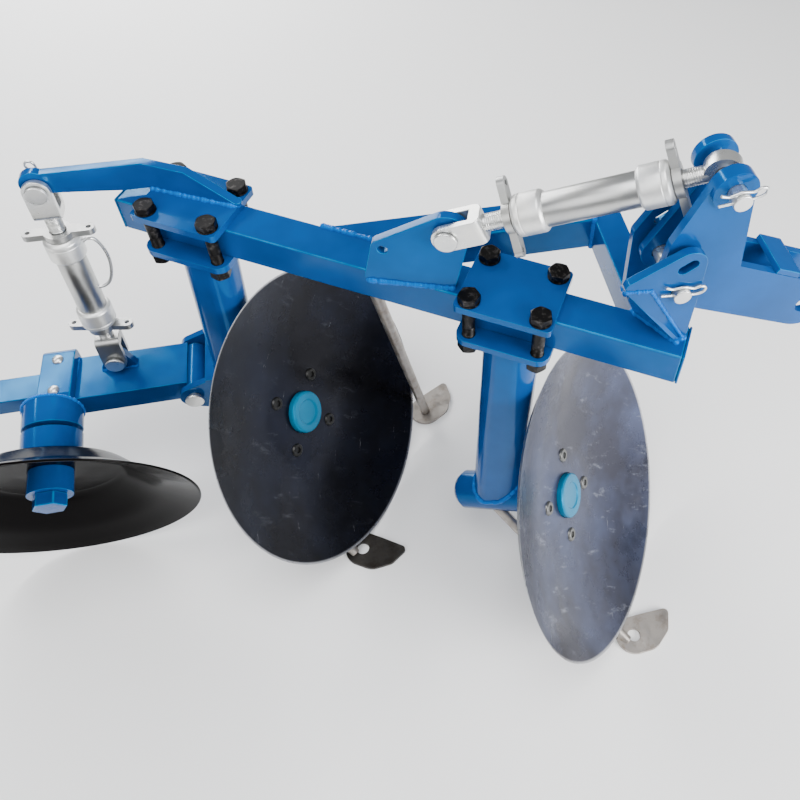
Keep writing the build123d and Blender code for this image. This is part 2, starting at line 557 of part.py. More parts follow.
# Tail wheel: hat-shaped dish, hub and nut
wheel_points = [(0, TAIL_R), (12, 178), (22, 150), (48, 116), (60, 100), (62, 60), (62, 30), (57, 30), (57, 60),
                (55, 98), (44, 111), (18, 146), (8, 174), (-3, TAIL_R - 2)]
save("tail_wheel_dish", turned(wheel_points, TAIL_C, tail_axis))
hub_pts = [(114, 18.5), (114, TAIL_HUB_R), (62, TAIL_HUB_R), (62, 30), (57, 30), (57, TAIL_SPIGOT_R),
           (22, TAIL_SPIGOT_R), (22, 0), (26, 0), (26, 18.5)]
save("tail_wheel_hub", turned(hub_pts, TAIL_C, tail_axis))
nut_plane = Plane(origin=Vector(*TAIL_C) + Vector(*tail_axis) * 22, x_dir=(1, 0, 0), z_dir=Vector(*tail_axis) * -1)
save("tail_wheel_nut", extrude(nut_plane * RegularPolygon(TAIL_NUT_AF / 2, 6, major_radius=False), 20))


# Feet: leaf plates with a hole each, and the rods that carry them
def leaf(place, drilled=True):
    x, y, turn = place
    shape = hull(*LEAF)
    if drilled:
        shape -= Circle(FOOT_HOLE_R)
    return Pos(x, y, 0) * Rot(0, 0, turn) * extrude(shape, FOOT_T)


BELOW = box(-600, 900, -900, 600, -100, 0)
prop_low = (PROP_FOOT[0], PROP_FOOT[1], 0.0)
prop_top = on_beam(PROP_ON_BEAM, BEAM_Y, BEAM_LOW)
prop_dir = (Vector(*prop_top) - Vector(*prop_low)).normalized()
prop = rod(Vector(*prop_low) - prop_dir * 10, Vector(*prop_top) + prop_dir * 30, ROD_R) - BELOW
prop -= box(-600, 900, -900, 600, BEAM_LOW, BEAM_LOW + 100)
save("prop_rod", prop)
save("prop_foot", leaf(PROP_FOOT, False) - prop)
for unit, dx, place in (("rear", 0.0, REAR_FOOT), ("front", UNIT_PITCH, FRONT_FOOT)):
    start = disc_point(STRUT_FROM[0])
    start_w = on_beam(start[0] + dx, start[1] + STRUT_FROM[1], start[2] + STRUT_FROM[2])
    heel_w = (place[0] + STRUT_HEEL[0], place[1] + STRUT_HEEL[1], FOOT_T)
    heel_dir = (Vector(*start_w) - Vector(*heel_w)).normalized()
    strut = rod(Vector(*heel_w) - heel_dir * 10, start_w, ROD_R) - Pos(0, 0, FOOT_T) * BELOW
    strut -= beam_frame * Pos(dx, 0, 0) * housing_solid
    save(unit + "_foot", leaf(place))
    save(unit + "_foot_strut", strut.solids().sort_by(SortBy.VOLUME)[-1])
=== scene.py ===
import json
import math

import bmesh
import bpy
from bpy.props import FloatProperty, FloatVectorProperty, IntProperty, PointerProperty
from mathutils import Matrix, Vector, geometry

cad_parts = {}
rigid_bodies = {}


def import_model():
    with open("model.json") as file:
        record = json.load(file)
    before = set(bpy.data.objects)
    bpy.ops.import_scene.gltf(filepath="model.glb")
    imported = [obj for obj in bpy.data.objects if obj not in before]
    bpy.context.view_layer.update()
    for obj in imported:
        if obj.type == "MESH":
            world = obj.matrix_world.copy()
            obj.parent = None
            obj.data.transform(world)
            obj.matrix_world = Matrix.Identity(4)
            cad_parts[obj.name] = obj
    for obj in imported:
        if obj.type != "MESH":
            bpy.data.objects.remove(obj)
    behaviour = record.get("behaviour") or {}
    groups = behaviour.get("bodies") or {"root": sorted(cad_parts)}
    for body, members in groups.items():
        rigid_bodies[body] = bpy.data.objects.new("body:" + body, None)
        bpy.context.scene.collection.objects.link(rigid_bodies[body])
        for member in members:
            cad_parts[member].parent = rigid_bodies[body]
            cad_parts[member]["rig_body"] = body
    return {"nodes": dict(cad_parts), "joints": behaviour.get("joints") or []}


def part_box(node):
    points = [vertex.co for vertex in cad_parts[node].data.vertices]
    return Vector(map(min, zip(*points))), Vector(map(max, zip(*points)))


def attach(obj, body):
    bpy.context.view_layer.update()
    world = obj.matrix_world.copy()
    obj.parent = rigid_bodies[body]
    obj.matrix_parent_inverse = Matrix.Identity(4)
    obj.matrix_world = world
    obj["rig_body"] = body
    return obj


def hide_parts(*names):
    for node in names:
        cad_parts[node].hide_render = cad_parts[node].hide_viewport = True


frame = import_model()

bl_info = {
    "name": "Disc plough",
    "version": (1, 0, 0),
    "blender": (4, 5, 0),
    "location": "View3D > Sidebar > Plough",
    "description": "Finishes the metalwork of a small disc plough and sets its stage",
    "category": "Object",
}

# Where things are, read from the frame. Lengths in code are in millimetres and MM turns them into metres
MM = 0.001
JOINT = {j["name"]: j for j in frame["joints"]}
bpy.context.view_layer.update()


def mid(node):
    low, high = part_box(node)
    return (Vector(low) + Vector(high)) / 2


def joint_at(name):
    return Vector(JOINT[name]["pos_m"])


def joint_axis(name):
    return Vector(JOINT[name]["axis"]).normalized()


# The slanted beam: its direction in plan, and the rear clamp as its zero
BEAM_TURN = math.radians(-31.0)
ALONG = Vector((math.cos(BEAM_TURN), math.sin(BEAM_TURN), 0.0))
ACROSS = Vector((-ALONG.y, ALONG.x, 0.0))
UP = Vector((0.0, 0.0, 1.0))
LEFT = Vector((0.0, 1.0, 0.0))
TRAVEL = Vector((1.0, 0.0, 0.0))
ZERO = Vector((0.0, 0.0, 0.0))
REAR_CLAMP = mid("rear_clamp_top")
FRONT_CLAMP = mid("front_clamp_top")
BEAM_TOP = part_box("main_beam")[1][2]
BEAM_HALF = 25.0


def on_beam(x, y, z):
    """A place x along the beam and y to its left, in mm, at height z in metres."""
    return Vector((REAR_CLAMP.x, REAR_CLAMP.y, z)) + ALONG * x * MM + ACROSS * y * MM


# Sizes and colours that a user would change
class PloughPaint(bpy.types.PropertyGroup):
    """Colours of the finishes."""
    blue: FloatVectorProperty(name="Blue", description="Paint of the frame",
                              subtype="COLOR", size=3, min=0, max=1, default=(0.0, 0.05, 0.21))
    cap: FloatVectorProperty(name="Caps", description="Paint of the disc caps",
                             subtype="COLOR", size=3, min=0, max=1, default=(0.0, 0.16, 0.30))
    steel: FloatVectorProperty(name="Disc steel", description="Polished steel of the discs",
                               subtype="COLOR", size=3, min=0, max=1, default=(0.016, 0.0165, 0.023))
    zinc: FloatVectorProperty(name="Zinc", description="Plating of links and pins",
                              subtype="COLOR", size=3, min=0, max=1, default=(0.66, 0.675, 0.69))
    black: FloatVectorProperty(name="Black", description="Enamel of the tail wheel and bolts",
                               subtype="COLOR", size=3, min=0, max=1, default=(0.0016, 0.0013, 0.0014))
    bare: FloatVectorProperty(name="Bare steel", description="Unpainted feet and prop",
                              subtype="COLOR", size=3, min=0, max=1, default=(0.36, 0.33, 0.30))


class PloughDetail(bpy.types.PropertyGroup):
    """Sizes of small forms."""
    # On the blue paint the broken edges take a lighter cyan, a painted highlight
    edge: FloatProperty(name="Edge", description="Width of worn edges on cut plate, mm",
                        default=1.2, min=0.2, max=4)
    bead: FloatProperty(name="Weld bead", description="Width of a weld bead, mm", default=8.0, min=1, max=15)
    bead_pitch: FloatProperty(name="Weld pitch", description="Step from ripple to ripple, mm",
                              default=3.2, min=1, max=10)
    thread_pitch: FloatProperty(name="Thread pitch", description="Pitch of the link screws, mm",
                                default=2.5, min=1, max=6)
    around: IntProperty(name="Segments", description="Facets around turned pieces",
                        default=96, min=24, max=256)


class PloughStage(bpy.types.PropertyGroup):
    """Floor, light and camera."""
    floor: FloatVectorProperty(name="Floor", description="Floor colour",
                               subtype="COLOR", size=3, min=0, max=1, default=(0.95, 0.95, 0.95))
    sky: FloatProperty(name="Sky", description="Strength of the even light", default=0.34, min=0, max=5)
    key: FloatProperty(name="Key light", description="Power of the main light, W",
                       default=150.0, min=0, max=1000)
    lens: FloatProperty(name="Lens", description="Focal length, mm on a 36 mm frame",
                        default=38.3, min=10, max=200)


def detail():
    return bpy.context.scene.plough_detail


def paint():
    return bpy.context.scene.plough_paint


# Node helpers
def shader(name, color, metallic, roughness):
    material = bpy.data.materials.new(name)
    material.use_nodes = True
    tree = material.node_tree
    surface = tree.nodes["Principled BSDF"]
    surface.inputs["Base Color"].default_value = (*color, 1.0)
    surface.inputs["Metallic"].default_value = metallic
    surface.inputs["Roughness"].default_value = roughness
    return material, tree, surface


def coords(tree, centre=None, turn=None):
    """Object coordinates, centred and turned into a piece's own axes where it has them."""
    tex = tree.nodes.new("ShaderNodeTexCoord")
    if centre is None:
        return tex.outputs["Object"]
    place = tree.nodes.new("ShaderNodeMapping")
    inverse = turn.transposed()
    place.inputs["Rotation"].default_value = inverse.to_euler()
    place.inputs["Location"].default_value = -(inverse @ centre)
    tree.links.new(tex.outputs["Object"], place.inputs["Vector"])
    return place.outputs["Vector"]


def noise(tree, vector, scale, depth=3.0, rough=0.55, stretch=None):
    node = tree.nodes.new("ShaderNodeTexNoise")
    node.inputs["Scale"].default_value = scale
    node.inputs["Detail"].default_value = depth
    node.inputs["Roughness"].default_value = rough
    if stretch is not None:
        place = tree.nodes.new("ShaderNodeMapping")
        place.inputs["Scale"].default_value = stretch
        tree.links.new(vector, place.inputs["Vector"])
        vector = place.outputs["Vector"]
    tree.links.new(vector, node.inputs["Vector"])
    return node.outputs["Fac"]


def spread(tree, value, low, high, to_low, to_high):
    node = tree.nodes.new("ShaderNodeMapRange")
    for key, number in (("From Min", low), ("From Max", high), ("To Min", to_low), ("To Max", to_high)):
        node.inputs[key].default_value = number
    tree.links.new(value, node.inputs["Value"])
    return node.outputs["Result"]


def blend_colors(tree, factor, first, second):
    node = tree.nodes.new("ShaderNodeMix")
    node.data_type = "RGBA"
    for key, color in ((6, first), (7, second)):
        if isinstance(color, (tuple, list)):
            node.inputs[key].default_value = (*color, 1.0)
        else:
            tree.links.new(color, node.inputs[key])
    tree.links.new(factor, node.inputs[0])
    return node.outputs[2]


def bump(tree, surface, height, strength, distance):
    node = tree.nodes.new("ShaderNodeBump")
    node.inputs["Strength"].default_value = strength
    node.inputs["Distance"].default_value = distance
    tree.links.new(height, node.inputs["Height"])
    tree.links.new(node.outputs["Normal"], surface.inputs["Normal"])


def scaled(color, factor):
    return tuple(min(1.0, c * factor) for c in color)


# Finishes, and the colours of the marks on them
PAINT_DUST = (0.01, 0.10, 0.26)
# A lighter cyan for the paint's broken edges: a painted highlight along them
PAINT_EDGE_HIGHLIGHT = (0.0, 0.19, 0.42)
PAINT_SHEEN = (0.0, 0.5, 1.0, 1.0)
STEEL_SMEAR = (0.028, 0.034, 0.060)
STEEL_SCUFF = (0.12, 0.128, 0.155)
STEEL_SCRATCH = (0.5, 0.51, 0.55)
# The discs' bright rim: ground steel, and a painted highlight along the edge as well
STEEL_RIM = (0.55, 0.55, 0.57)
OXIDE_RUB = (0.12, 0.11, 0.105)
MILL_STAIN = (0.17, 0.12, 0.085)
MILL_PALE = (0.55, 0.52, 0.49)
ENAMEL_DUST = (0.005, 0.004, 0.0037)
ENAMEL_IOR = 1.14


def gloss_paint(name, color):
    """Glossy shop paint with a little orange peel, thin dust, uneven depth and a patchy painted highlight on
    its broken edges.
    """
    color = tuple(color)
    material, tree, surface = shader(name, color, 0.0, 0.2)
    vector = coords(tree)
    depth = spread(tree, noise(tree, vector, 9.0), 0.35, 0.65, 0.0, 1.0)
    tone = blend_colors(tree, depth, scaled(color, 0.8), scaled(color, 1.18))
    dust = spread(tree, noise(tree, vector, 60.0, 6.0, 0.7), 0.6, 0.82, 0.0, 0.2)
    tone = blend_colors(tree, dust, tone, PAINT_DUST)
    # Broken edges, marked in the mesh, take a patchy lighter cyan: a painted highlight
    edge = tree.nodes.new("ShaderNodeAttribute")
    edge.attribute_name = "edge"
    edge_highlight = tree.nodes.new("ShaderNodeMath")
    edge_highlight.operation = "MULTIPLY"
    tree.links.new(edge.outputs["Fac"], edge_highlight.inputs[0])
    tree.links.new(spread(tree, noise(tree, vector, 45.0, 4.0), 0.35, 0.65, 0.35, 0.95), edge_highlight.inputs[1])
    tone = blend_colors(tree, edge_highlight.outputs["Value"], tone, PAINT_EDGE_HIGHLIGHT)
    tree.links.new(tone, surface.inputs["Base Color"])
    tree.links.new(spread(tree, noise(tree, vector, 24.0), 0.3, 0.7, 0.1, 0.2), surface.inputs["Roughness"])
    bump(tree, surface, noise(tree, vector, 420.0, 2.0), 0.06, 0.0006)
    surface.inputs["Specular IOR Level"].default_value = 0.5
    surface.inputs["Specular Tint"].default_value = PAINT_SHEEN
    return material


def blue_paint():
    return gloss_paint("blue_paint", paint().blue)


def disc_steel(name, centre, axis, painted_light):
    """Dark polished steel with turning lines, smears, light scuffs and a bright rim that is ground steel and
    also a painted highlight, all scaled by a factor of painted light and shade.
    """
    color = tuple(paint().steel)
    material, tree, surface = shader(name, color, 0.85, 0.3)
    vector = coords(tree, centre, upright(axis))
    smear = spread(tree, noise(tree, vector, 5.5, 4.0, 0.6), 0.42, 0.68, 0.0, 1.0)
    # The steel, its smears and its scuffs are scaled by the disc's factor: painted shade on the rear disc, a
    # painted reflection on the front
    tone = blend_colors(tree, smear, scaled(color, painted_light), scaled(STEEL_SMEAR, painted_light))
    scuff = spread(tree, noise(tree, vector, 16.0, 8.0, 0.75, (1.0, 3.2, 1.0)), 0.58, 0.74, 0.0, 0.7)
    tone = blend_colors(tree, scuff, tone, scaled(STEEL_SCUFF, painted_light))
    scratch = spread(tree, noise(tree, vector, 38.0, 5.0, 0.8, (7.0, 0.5, 1.0)), 0.67, 0.71, 0.0, 0.6)
    tone = blend_colors(tree, scratch, tone, STEEL_SCRATCH)
    flat = tree.nodes.new("ShaderNodeVectorMath")
    flat.operation = "MULTIPLY"
    flat.inputs[1].default_value = (1.0, 1.0, 0.0)
    tree.links.new(vector, flat.inputs[0])
    radius = tree.nodes.new("ShaderNodeVectorMath")
    radius.operation = "LENGTH"
    tree.links.new(flat.outputs["Vector"], radius.inputs[0])
    # A bright band at the rim: ground steel, and also a painted highlight
    rim = spread(tree, radius.outputs["Value"], (DISC_R - 4.0) * MM, (DISC_R - 1.5) * MM, 0.0, 0.85)
    tone = blend_colors(tree, rim, tone, STEEL_RIM)
    tree.links.new(tone, surface.inputs["Base Color"])
    rings = tree.nodes.new("ShaderNodeTexWave")
    rings.wave_type = "RINGS"
    rings.rings_direction = "Z"
    rings.inputs["Scale"].default_value = 130.0
    rings.inputs["Distortion"].default_value = 1.2
    tree.links.new(vector, rings.inputs["Vector"])
    rough = spread(tree, noise(tree, vector, 9.0, 6.0, 0.7), 0.3, 0.7, 0.16, 0.42)
    tree.links.new(rough, surface.inputs["Roughness"])
    bump(tree, surface, rings.outputs["Fac"], 0.06, 0.0004)
    return material


def plated(name, color, metallic, rough_low, rough_high):
    """Zinc plate, softly cloudy and faintly yellow, with a few dull marks."""
    material, tree, surface = shader(name, color, metallic, rough_low)
    vector = coords(tree)
    cloud = spread(tree, noise(tree, vector, 26.0, 4.0, 0.6), 0.3, 0.7, 0.0, 1.0)
    warm = (min(1.0, color[0] * 1.14), min(1.0, color[1] * 1.11), min(1.0, color[2] * 1.04))
    tone = blend_colors(tree, cloud, scaled(color, 0.94), warm)
    mark = spread(tree, noise(tree, vector, 70.0, 4.0, 0.7), 0.64, 0.8, 0.0, 0.25)
    tone = blend_colors(tree, mark, tone, scaled(color, 0.55))
    tree.links.new(tone, surface.inputs["Base Color"])
    rough = spread(tree, noise(tree, vector, 40.0, 4.0), 0.3, 0.7, rough_low, rough_high)
    tree.links.new(rough, surface.inputs["Roughness"])
    bump(tree, surface, noise(tree, vector, 140.0, 2.0), 0.02, 0.0006)
    return material


def bright_zinc():
    return plated("bright_zinc", tuple(paint().zinc), 0.9, 0.24, 0.36)


def satin_zinc():
    return plated("satin_zinc", scaled(paint().zinc, 1.1), 0.8, 0.36, 0.5)


def dull_zinc():
    return plated("dull_zinc", scaled(paint().zinc, 0.62), 0.92, 0.3, 0.44)


def polished_tube():
    return plated("polished_tube", scaled(paint().zinc, 0.7), 1.0, 0.3, 0.38)


def black_oxide():
    """Black bolt finish, rubbed grey here and there."""
    color = tuple(paint().black)
    material, tree, surface = shader("black_oxide", color, 0.75, 0.42)
    vector = coords(tree)
    rub = spread(tree, noise(tree, vector, 150.0, 5.0, 0.7), 0.52, 0.75, 0.0, 0.7)
    tone = blend_colors(tree, rub, scaled(color, 1.3), OXIDE_RUB)
    tree.links.new(tone, surface.inputs["Base Color"])
    bump(tree, surface, noise(tree, vector, 900.0, 2.0), 0.08, 0.0004)
    return material


def mill_steel(name, painted_shade_factor):
    """Unpainted steel with mill scale and brown stains, darkened all over by a factor below one where it
    stands for painted shade.
    """
    color = scaled(paint().bare, painted_shade_factor)
    material, tree, surface = shader(name, color, 0.85, 0.42)
    vector = coords(tree)
    stain = spread(tree, noise(tree, vector, 42.0, 6.0, 0.7), 0.5, 0.72, 0.0, 0.8)
    tone = blend_colors(tree, stain, color, scaled(MILL_STAIN, painted_shade_factor))
    pale = spread(tree, noise(tree, vector, 18.0, 4.0), 0.55, 0.75, 0.0, 0.6)
    tone = blend_colors(tree, pale, tone, scaled(MILL_PALE, painted_shade_factor))
    tree.links.new(tone, surface.inputs["Base Color"])
    rough = spread(tree, noise(tree, vector, 70.0, 4.0), 0.3, 0.7, 0.3, 0.6)
    tree.links.new(rough, surface.inputs["Roughness"])
    bump(tree, surface, noise(tree, vector, 520.0, 4.0), 0.15, 0.0005)
    return material


def bare_steel():
    return mill_steel("bare_steel", 1.0)


def black_enamel():
    """Thick gloss black with dust and scuffed patches."""
    color = tuple(paint().black)
    material, tree, surface = shader("black_enamel", color, 0.0, 0.3)
    vector = coords(tree)
    dust = spread(tree, noise(tree, vector, 14.0, 6.0, 0.7), 0.55, 0.8, 0.0, 0.35)
    tree.links.new(blend_colors(tree, dust, color, ENAMEL_DUST), surface.inputs["Base Color"])
    rough = spread(tree, noise(tree, vector, 20.0, 5.0), 0.3, 0.72, 0.1, 0.24)
    tree.links.new(rough, surface.inputs["Roughness"])
    bump(tree, surface, noise(tree, vector, 300.0, 2.0), 0.04, 0.0005)
    surface.inputs["IOR"].default_value = ENAMEL_IOR
    return material


FINISHES = {}


def finish_for(slot):
    makers = {"blue_paint": blue_paint, "zinc": bright_zinc, "black_bolt": black_oxide,
              "bare_steel": bare_steel, "black_enamel": black_enamel}
    if slot not in FINISHES:
        FINISHES[slot] = makers[slot]()
    return FINISHES[slot]


# Mesh helpers. Angles are in degrees: faces that bend by more than a sharp angle keep a hard edge
TURNED_SHARP = 32.0
PLATE_SHARP = 50.0
BOLT_SHARP = 28.0
ROUND_SHARP = 60.0
BROKEN_ANGLE = 38.0
FLAT_ANGLE = 0.6
# How near, in metres, a corner of a solid has to be to a plane or a round face to count as on it
ON_PLANE = 0.0004
ON_ROUND = 0.0008
ON_LUG_FACE = 0.0005
ON_BEAM = 0.001


def upright(axis):
    """Rotation that takes +Z to the axis."""
    return UP.rotation_difference(Vector(axis)).to_matrix()


def placed(name, data):
    """A new object of the scene."""
    item = bpy.data.objects.new(name, data)
    bpy.context.scene.collection.objects.link(item)
    return item


def plain_mesh(holder, keep_layers=False):
    """The mesh that a holder's curve or modifiers make. The holder goes."""
    graph = bpy.context.evaluated_depsgraph_get()
    shape = holder.evaluated_get(graph)
    mesh = bpy.data.meshes.new_from_object(shape, preserve_all_data_layers=keep_layers, depsgraph=graph)
    holder.modifiers.clear()
    bpy.data.objects.remove(holder)
    return mesh


def add_object(name, mesh, material, body, sharp=TURNED_SHARP):
    mesh.materials.clear()
    mesh.materials.append(material)
    if sharp is not None:
        mesh.shade_smooth()
        mesh.set_sharp_from_angle(angle=math.radians(sharp))
    piece = placed(name, mesh)
    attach(piece, body)
    return piece


def mesh_from(bm, name):
    bmesh.ops.remove_doubles(bm, verts=bm.verts, dist=1e-6)
    bmesh.ops.recalc_face_normals(bm, faces=bm.faces)
    mesh = bpy.data.meshes.new(name)
    bm.to_mesh(mesh)
    bm.free()
    return mesh


def softened(points, radius, closed=True, steps=4):
    """An outline whose corners are rounded, each by at most the radius."""
    out = []
    count = len(points)
    for i, corner in enumerate(points):
        here = Vector(corner)
        if not closed and i in (0, count - 1):
            out.append(tuple(here))
            continue
        before = Vector(points[i - 1]) - here
        after = Vector(points[(i + 1) % count]) - here
        cut = min(radius, before.length * 0.45, after.length * 0.45)
        first = here + before.normalized() * cut
        last = here + after.normalized() * cut
        for k in range(steps + 1):
            t = k / steps
            out.append(tuple(first * (1 - t) ** 2 + here * 2 * t * (1 - t) + last * t * t))
    return out


def add_turned(bm, profile, at, axis, closed=True, around=None):
    """Spins an outline of distances along the axis and radii, in mm, about the axis."""
    around = around or detail().around
    turn = upright(axis)
    rings = []
    for a, r in profile:
        if abs(r) < 1e-6:
            rings.append([bm.verts.new(at + turn @ Vector((0, 0, a * MM)))])
            continue
        ring = []
        for k in range(around):
            angle = 2 * math.pi * k / around
            spot = Vector((r * math.cos(angle), r * math.sin(angle), a)) * MM
            ring.append(bm.verts.new(at + turn @ spot))
        rings.append(ring)
    pairs = list(zip(rings, rings[1:]))
    if closed:
        pairs.append((rings[-1], rings[0]))
    for one, two in pairs:
        for k in range(around):
            n = (k + 1) % around
            if len(one) == 1 and len(two) == 1:
                break
            if len(one) == 1:
                bm.faces.new((one[0], two[k], two[n]))
            elif len(two) == 1:
                bm.faces.new((one[k], two[0], one[n]))
            else:
                bm.faces.new((one[k], two[k], two[n], one[n]))


def turned_piece(name, profile, at, axis, material, body, closed=True):
    bm = bmesh.new()
    add_turned(bm, profile, at, axis, closed)
    return add_object(name, mesh_from(bm, name), material, body)


def finished_copy(node, edge=None):
    """A copy of a solid with its cut edges broken, as sawn and ground plate has them."""
    bm = bmesh.new()
    bm.from_mesh(frame["nodes"][node].data)
    bmesh.ops.remove_doubles(bm, verts=bm.verts, dist=2e-6)
    flat = math.radians(FLAT_ANGLE)
    bmesh.ops.dissolve_limit(bm, angle_limit=flat, verts=bm.verts, edges=bm.edges)
    width = (edge if edge is not None else detail().edge) * MM
    bend = math.radians(BROKEN_ANGLE)
    sharp = [e for e in bm.edges if len(e.link_faces) == 2 and e.calc_face_angle(0) > bend]
    # Marks the broken edges, where the blue paint takes a painted highlight
    highlit = bm.verts.layers.float.new("edge")
    made = bmesh.ops.bevel(bm, geom=sharp, offset=width, offset_type="OFFSET", segments=2, profile=0.5,
                           affect="EDGES", clamp_overlap=True)
    broken = set(made["faces"])
    for vert in bm.verts:
        vert[highlit] = 1.0 if all(face in broken for face in vert.link_faces) else 0.0
    return mesh_from(bm, node + "_finish")


def evened(name, mesh, sharp):
    """The mesh with normals weighted by face area, so that flats stay flat beside broken edges."""
    mesh.shade_smooth()
    mesh.set_sharp_from_angle(angle=math.radians(sharp))
    holder = placed(name, mesh)
    modifier = holder.modifiers.new("even", "WEIGHTED_NORMAL")
    modifier.keep_sharp = True
    modifier.weight = 90
    return plain_mesh(holder, keep_layers=True)


def finished_piece(node, slot, edge=None, coat=None):
    body = frame["nodes"][node]["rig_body"]
    name = node + "_finish"
    mesh = evened(name, finished_copy(node, edge), PLATE_SHARP)
    piece = add_object(name, mesh, coat or finish_for(slot), body, None)
    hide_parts(node)
    return piece


def wire_mesh(name, points, radius):
    """A round wire through points, in metres, with its bends rounded."""
    curve = bpy.data.curves.new(name, "CURVE")
    curve.dimensions = "3D"
    curve.bevel_depth = radius * MM
    curve.bevel_resolution = 4
    curve.use_fill_caps = True
    spline = curve.splines.new("NURBS")
    spline.points.add(len(points) - 1)
    for spot, point in zip(spline.points, points):
        spot.co = (*point, 1.0)
    spline.order_u = 3
    spline.use_endpoint_u = True
    spline.resolution_u = 6
    bm = bmesh.new()
    bm.from_mesh(plain_mesh(placed(name, curve)))
    return mesh_from(bm, name)


# Geometry node trees
def node_tree(name):
    tree = bpy.data.node_groups.new(name, "GeometryNodeTree")
    tree.interface.new_socket("Geometry", in_out="INPUT", socket_type="NodeSocketGeometry")
    tree.interface.new_socket("Geometry", in_out="OUTPUT", socket_type="NodeSocketGeometry")
    return tree


def tree_input(tree, label, kind, default):
    socket = tree.interface.new_socket(label, in_out="INPUT", socket_type=kind)
    if default is not None:
        socket.default_value = default


def add_nodes(tree, *kinds):
    return [tree.nodes.new(kind) for kind in kinds]


def join(tree, *links):
    """Links a node's output to a node's input, for each node, output, node and input."""
    for source, out, target, into in links:
        tree.links.new(source.outputs[out], target.inputs[into])


def bead_tree():
    """Ripples of weld metal along a path."""
    tree = node_tree("weld_bead")
    tree_input(tree, "Pitch", "NodeSocketFloat", 0.0032)
    tree_input(tree, "Width", "NodeSocketFloat", 0.006)
    tree_input(tree, "Finish", "NodeSocketMaterial", None)
    start, end = add_nodes(tree, "NodeGroupInput", "NodeGroupOutput")
    to_curve, resample, place, ball, size, vary, realize, smooth, coat = add_nodes(
        tree, "GeometryNodeMeshToCurve", "GeometryNodeResampleCurve", "GeometryNodeInstanceOnPoints",
        "GeometryNodeMeshIcoSphere", "ShaderNodeVectorMath", "FunctionNodeRandomValue",
        "GeometryNodeRealizeInstances", "GeometryNodeSetShadeSmooth", "GeometryNodeSetMaterial")
    resample.mode = "LENGTH"
    ball.inputs["Subdivisions"].default_value = 2
    ball.inputs["Radius"].default_value = 0.5
    vary.data_type = "FLOAT"
    vary.inputs[2].default_value = 0.76
    vary.inputs[3].default_value = 1.18
    vary.inputs["Seed"].default_value = 7
    size.operation = "SCALE"
    wide = tree.nodes.new("ShaderNodeCombineXYZ")
    for axis in ("X", "Y", "Z"):
        join(tree, (start, "Width", wide, axis))
    join(tree, (start, "Geometry", to_curve, "Mesh"), (to_curve, "Curve", resample, "Curve"),
         (start, "Pitch", resample, "Length"), (resample, "Curve", place, "Points"),
         (ball, "Mesh", place, "Instance"), (wide, "Vector", size, 0), (vary, 1, size, "Scale"),
         (size, "Vector", place, "Scale"), (place, "Instances", realize, "Geometry"),
         (realize, "Geometry", smooth, "Geometry"), (smooth, "Geometry", coat, "Geometry"),
         (start, "Finish", coat, "Material"), (coat, "Geometry", end, "Geometry"))
    return tree


def thread_tree():
    """A screw thread's ridge, wound up the Z axis."""
    tree = node_tree("screw_thread")
    for label, default in (("Turns", 8.0), ("Radius", 0.0095), ("Height", 0.02), ("Ridge", 0.0009)):
        tree_input(tree, label, "NodeSocketFloat", default)
    tree_input(tree, "Finish", "NodeSocketMaterial", None)
    start, end = add_nodes(tree, "NodeGroupInput", "NodeGroupOutput")
    spiral, ring, sweep, smooth, realize, coat = add_nodes(
        tree, "GeometryNodeCurveSpiral", "GeometryNodeCurvePrimitiveCircle", "GeometryNodeCurveToMesh",
        "GeometryNodeSetShadeSmooth", "GeometryNodeRealizeInstances", "GeometryNodeSetMaterial")
    spiral.inputs["Resolution"].default_value = 28
    ring.inputs["Resolution"].default_value = 6
    join(tree, (start, "Turns", spiral, "Rotations"), (start, "Radius", spiral, "Start Radius"),
         (start, "Radius", spiral, "End Radius"), (start, "Height", spiral, "Height"),
         (start, "Ridge", ring, "Radius"), (spiral, "Curve", sweep, "Curve"),
         (ring, "Curve", sweep, "Profile Curve"), (sweep, "Mesh", smooth, "Geometry"),
         (smooth, "Geometry", realize, "Geometry"), (realize, "Geometry", coat, "Geometry"),
         (start, "Finish", coat, "Material"), (coat, "Geometry", end, "Geometry"))
    return tree


def scatter_tree():
    """One small piece repeated at every point, facing and spun as the point says."""
    tree = node_tree("repeat_at_points")
    tree_input(tree, "Piece", "NodeSocketObject", None)
    tree_input(tree, "Finish", "NodeSocketMaterial", None)
    start, end = add_nodes(tree, "NodeGroupInput", "NodeGroupOutput")
    source, place, turn, vector, spin, about, twist, realize, coat = add_nodes(
        tree, "GeometryNodeObjectInfo", "GeometryNodeInstanceOnPoints", "FunctionNodeAlignRotationToVector",
        "GeometryNodeInputNamedAttribute", "GeometryNodeInputNamedAttribute", "ShaderNodeCombineXYZ",
        "GeometryNodeRotateInstances", "GeometryNodeRealizeInstances", "GeometryNodeSetMaterial")
    spin.data_type = "FLOAT"
    spin.inputs["Name"].default_value = "spin"
    twist.inputs["Local Space"].default_value = True
    vector.data_type = "FLOAT_VECTOR"
    vector.inputs["Name"].default_value = "facing"
    turn.axis = "Z"
    join(tree, (start, "Piece", source, "Object"), (start, "Geometry", place, "Points"),
         (source, "Geometry", place, "Instance"), (vector, "Attribute", turn, "Vector"),
         (turn, "Rotation", place, "Rotation"), (spin, "Attribute", about, "Z"),
         (about, "Vector", twist, "Rotation"), (place, "Instances", twist, "Instances"),
         (twist, "Instances", realize, "Geometry"), (realize, "Geometry", coat, "Geometry"),
         (start, "Finish", coat, "Material"), (coat, "Geometry", end, "Geometry"))
    return tree


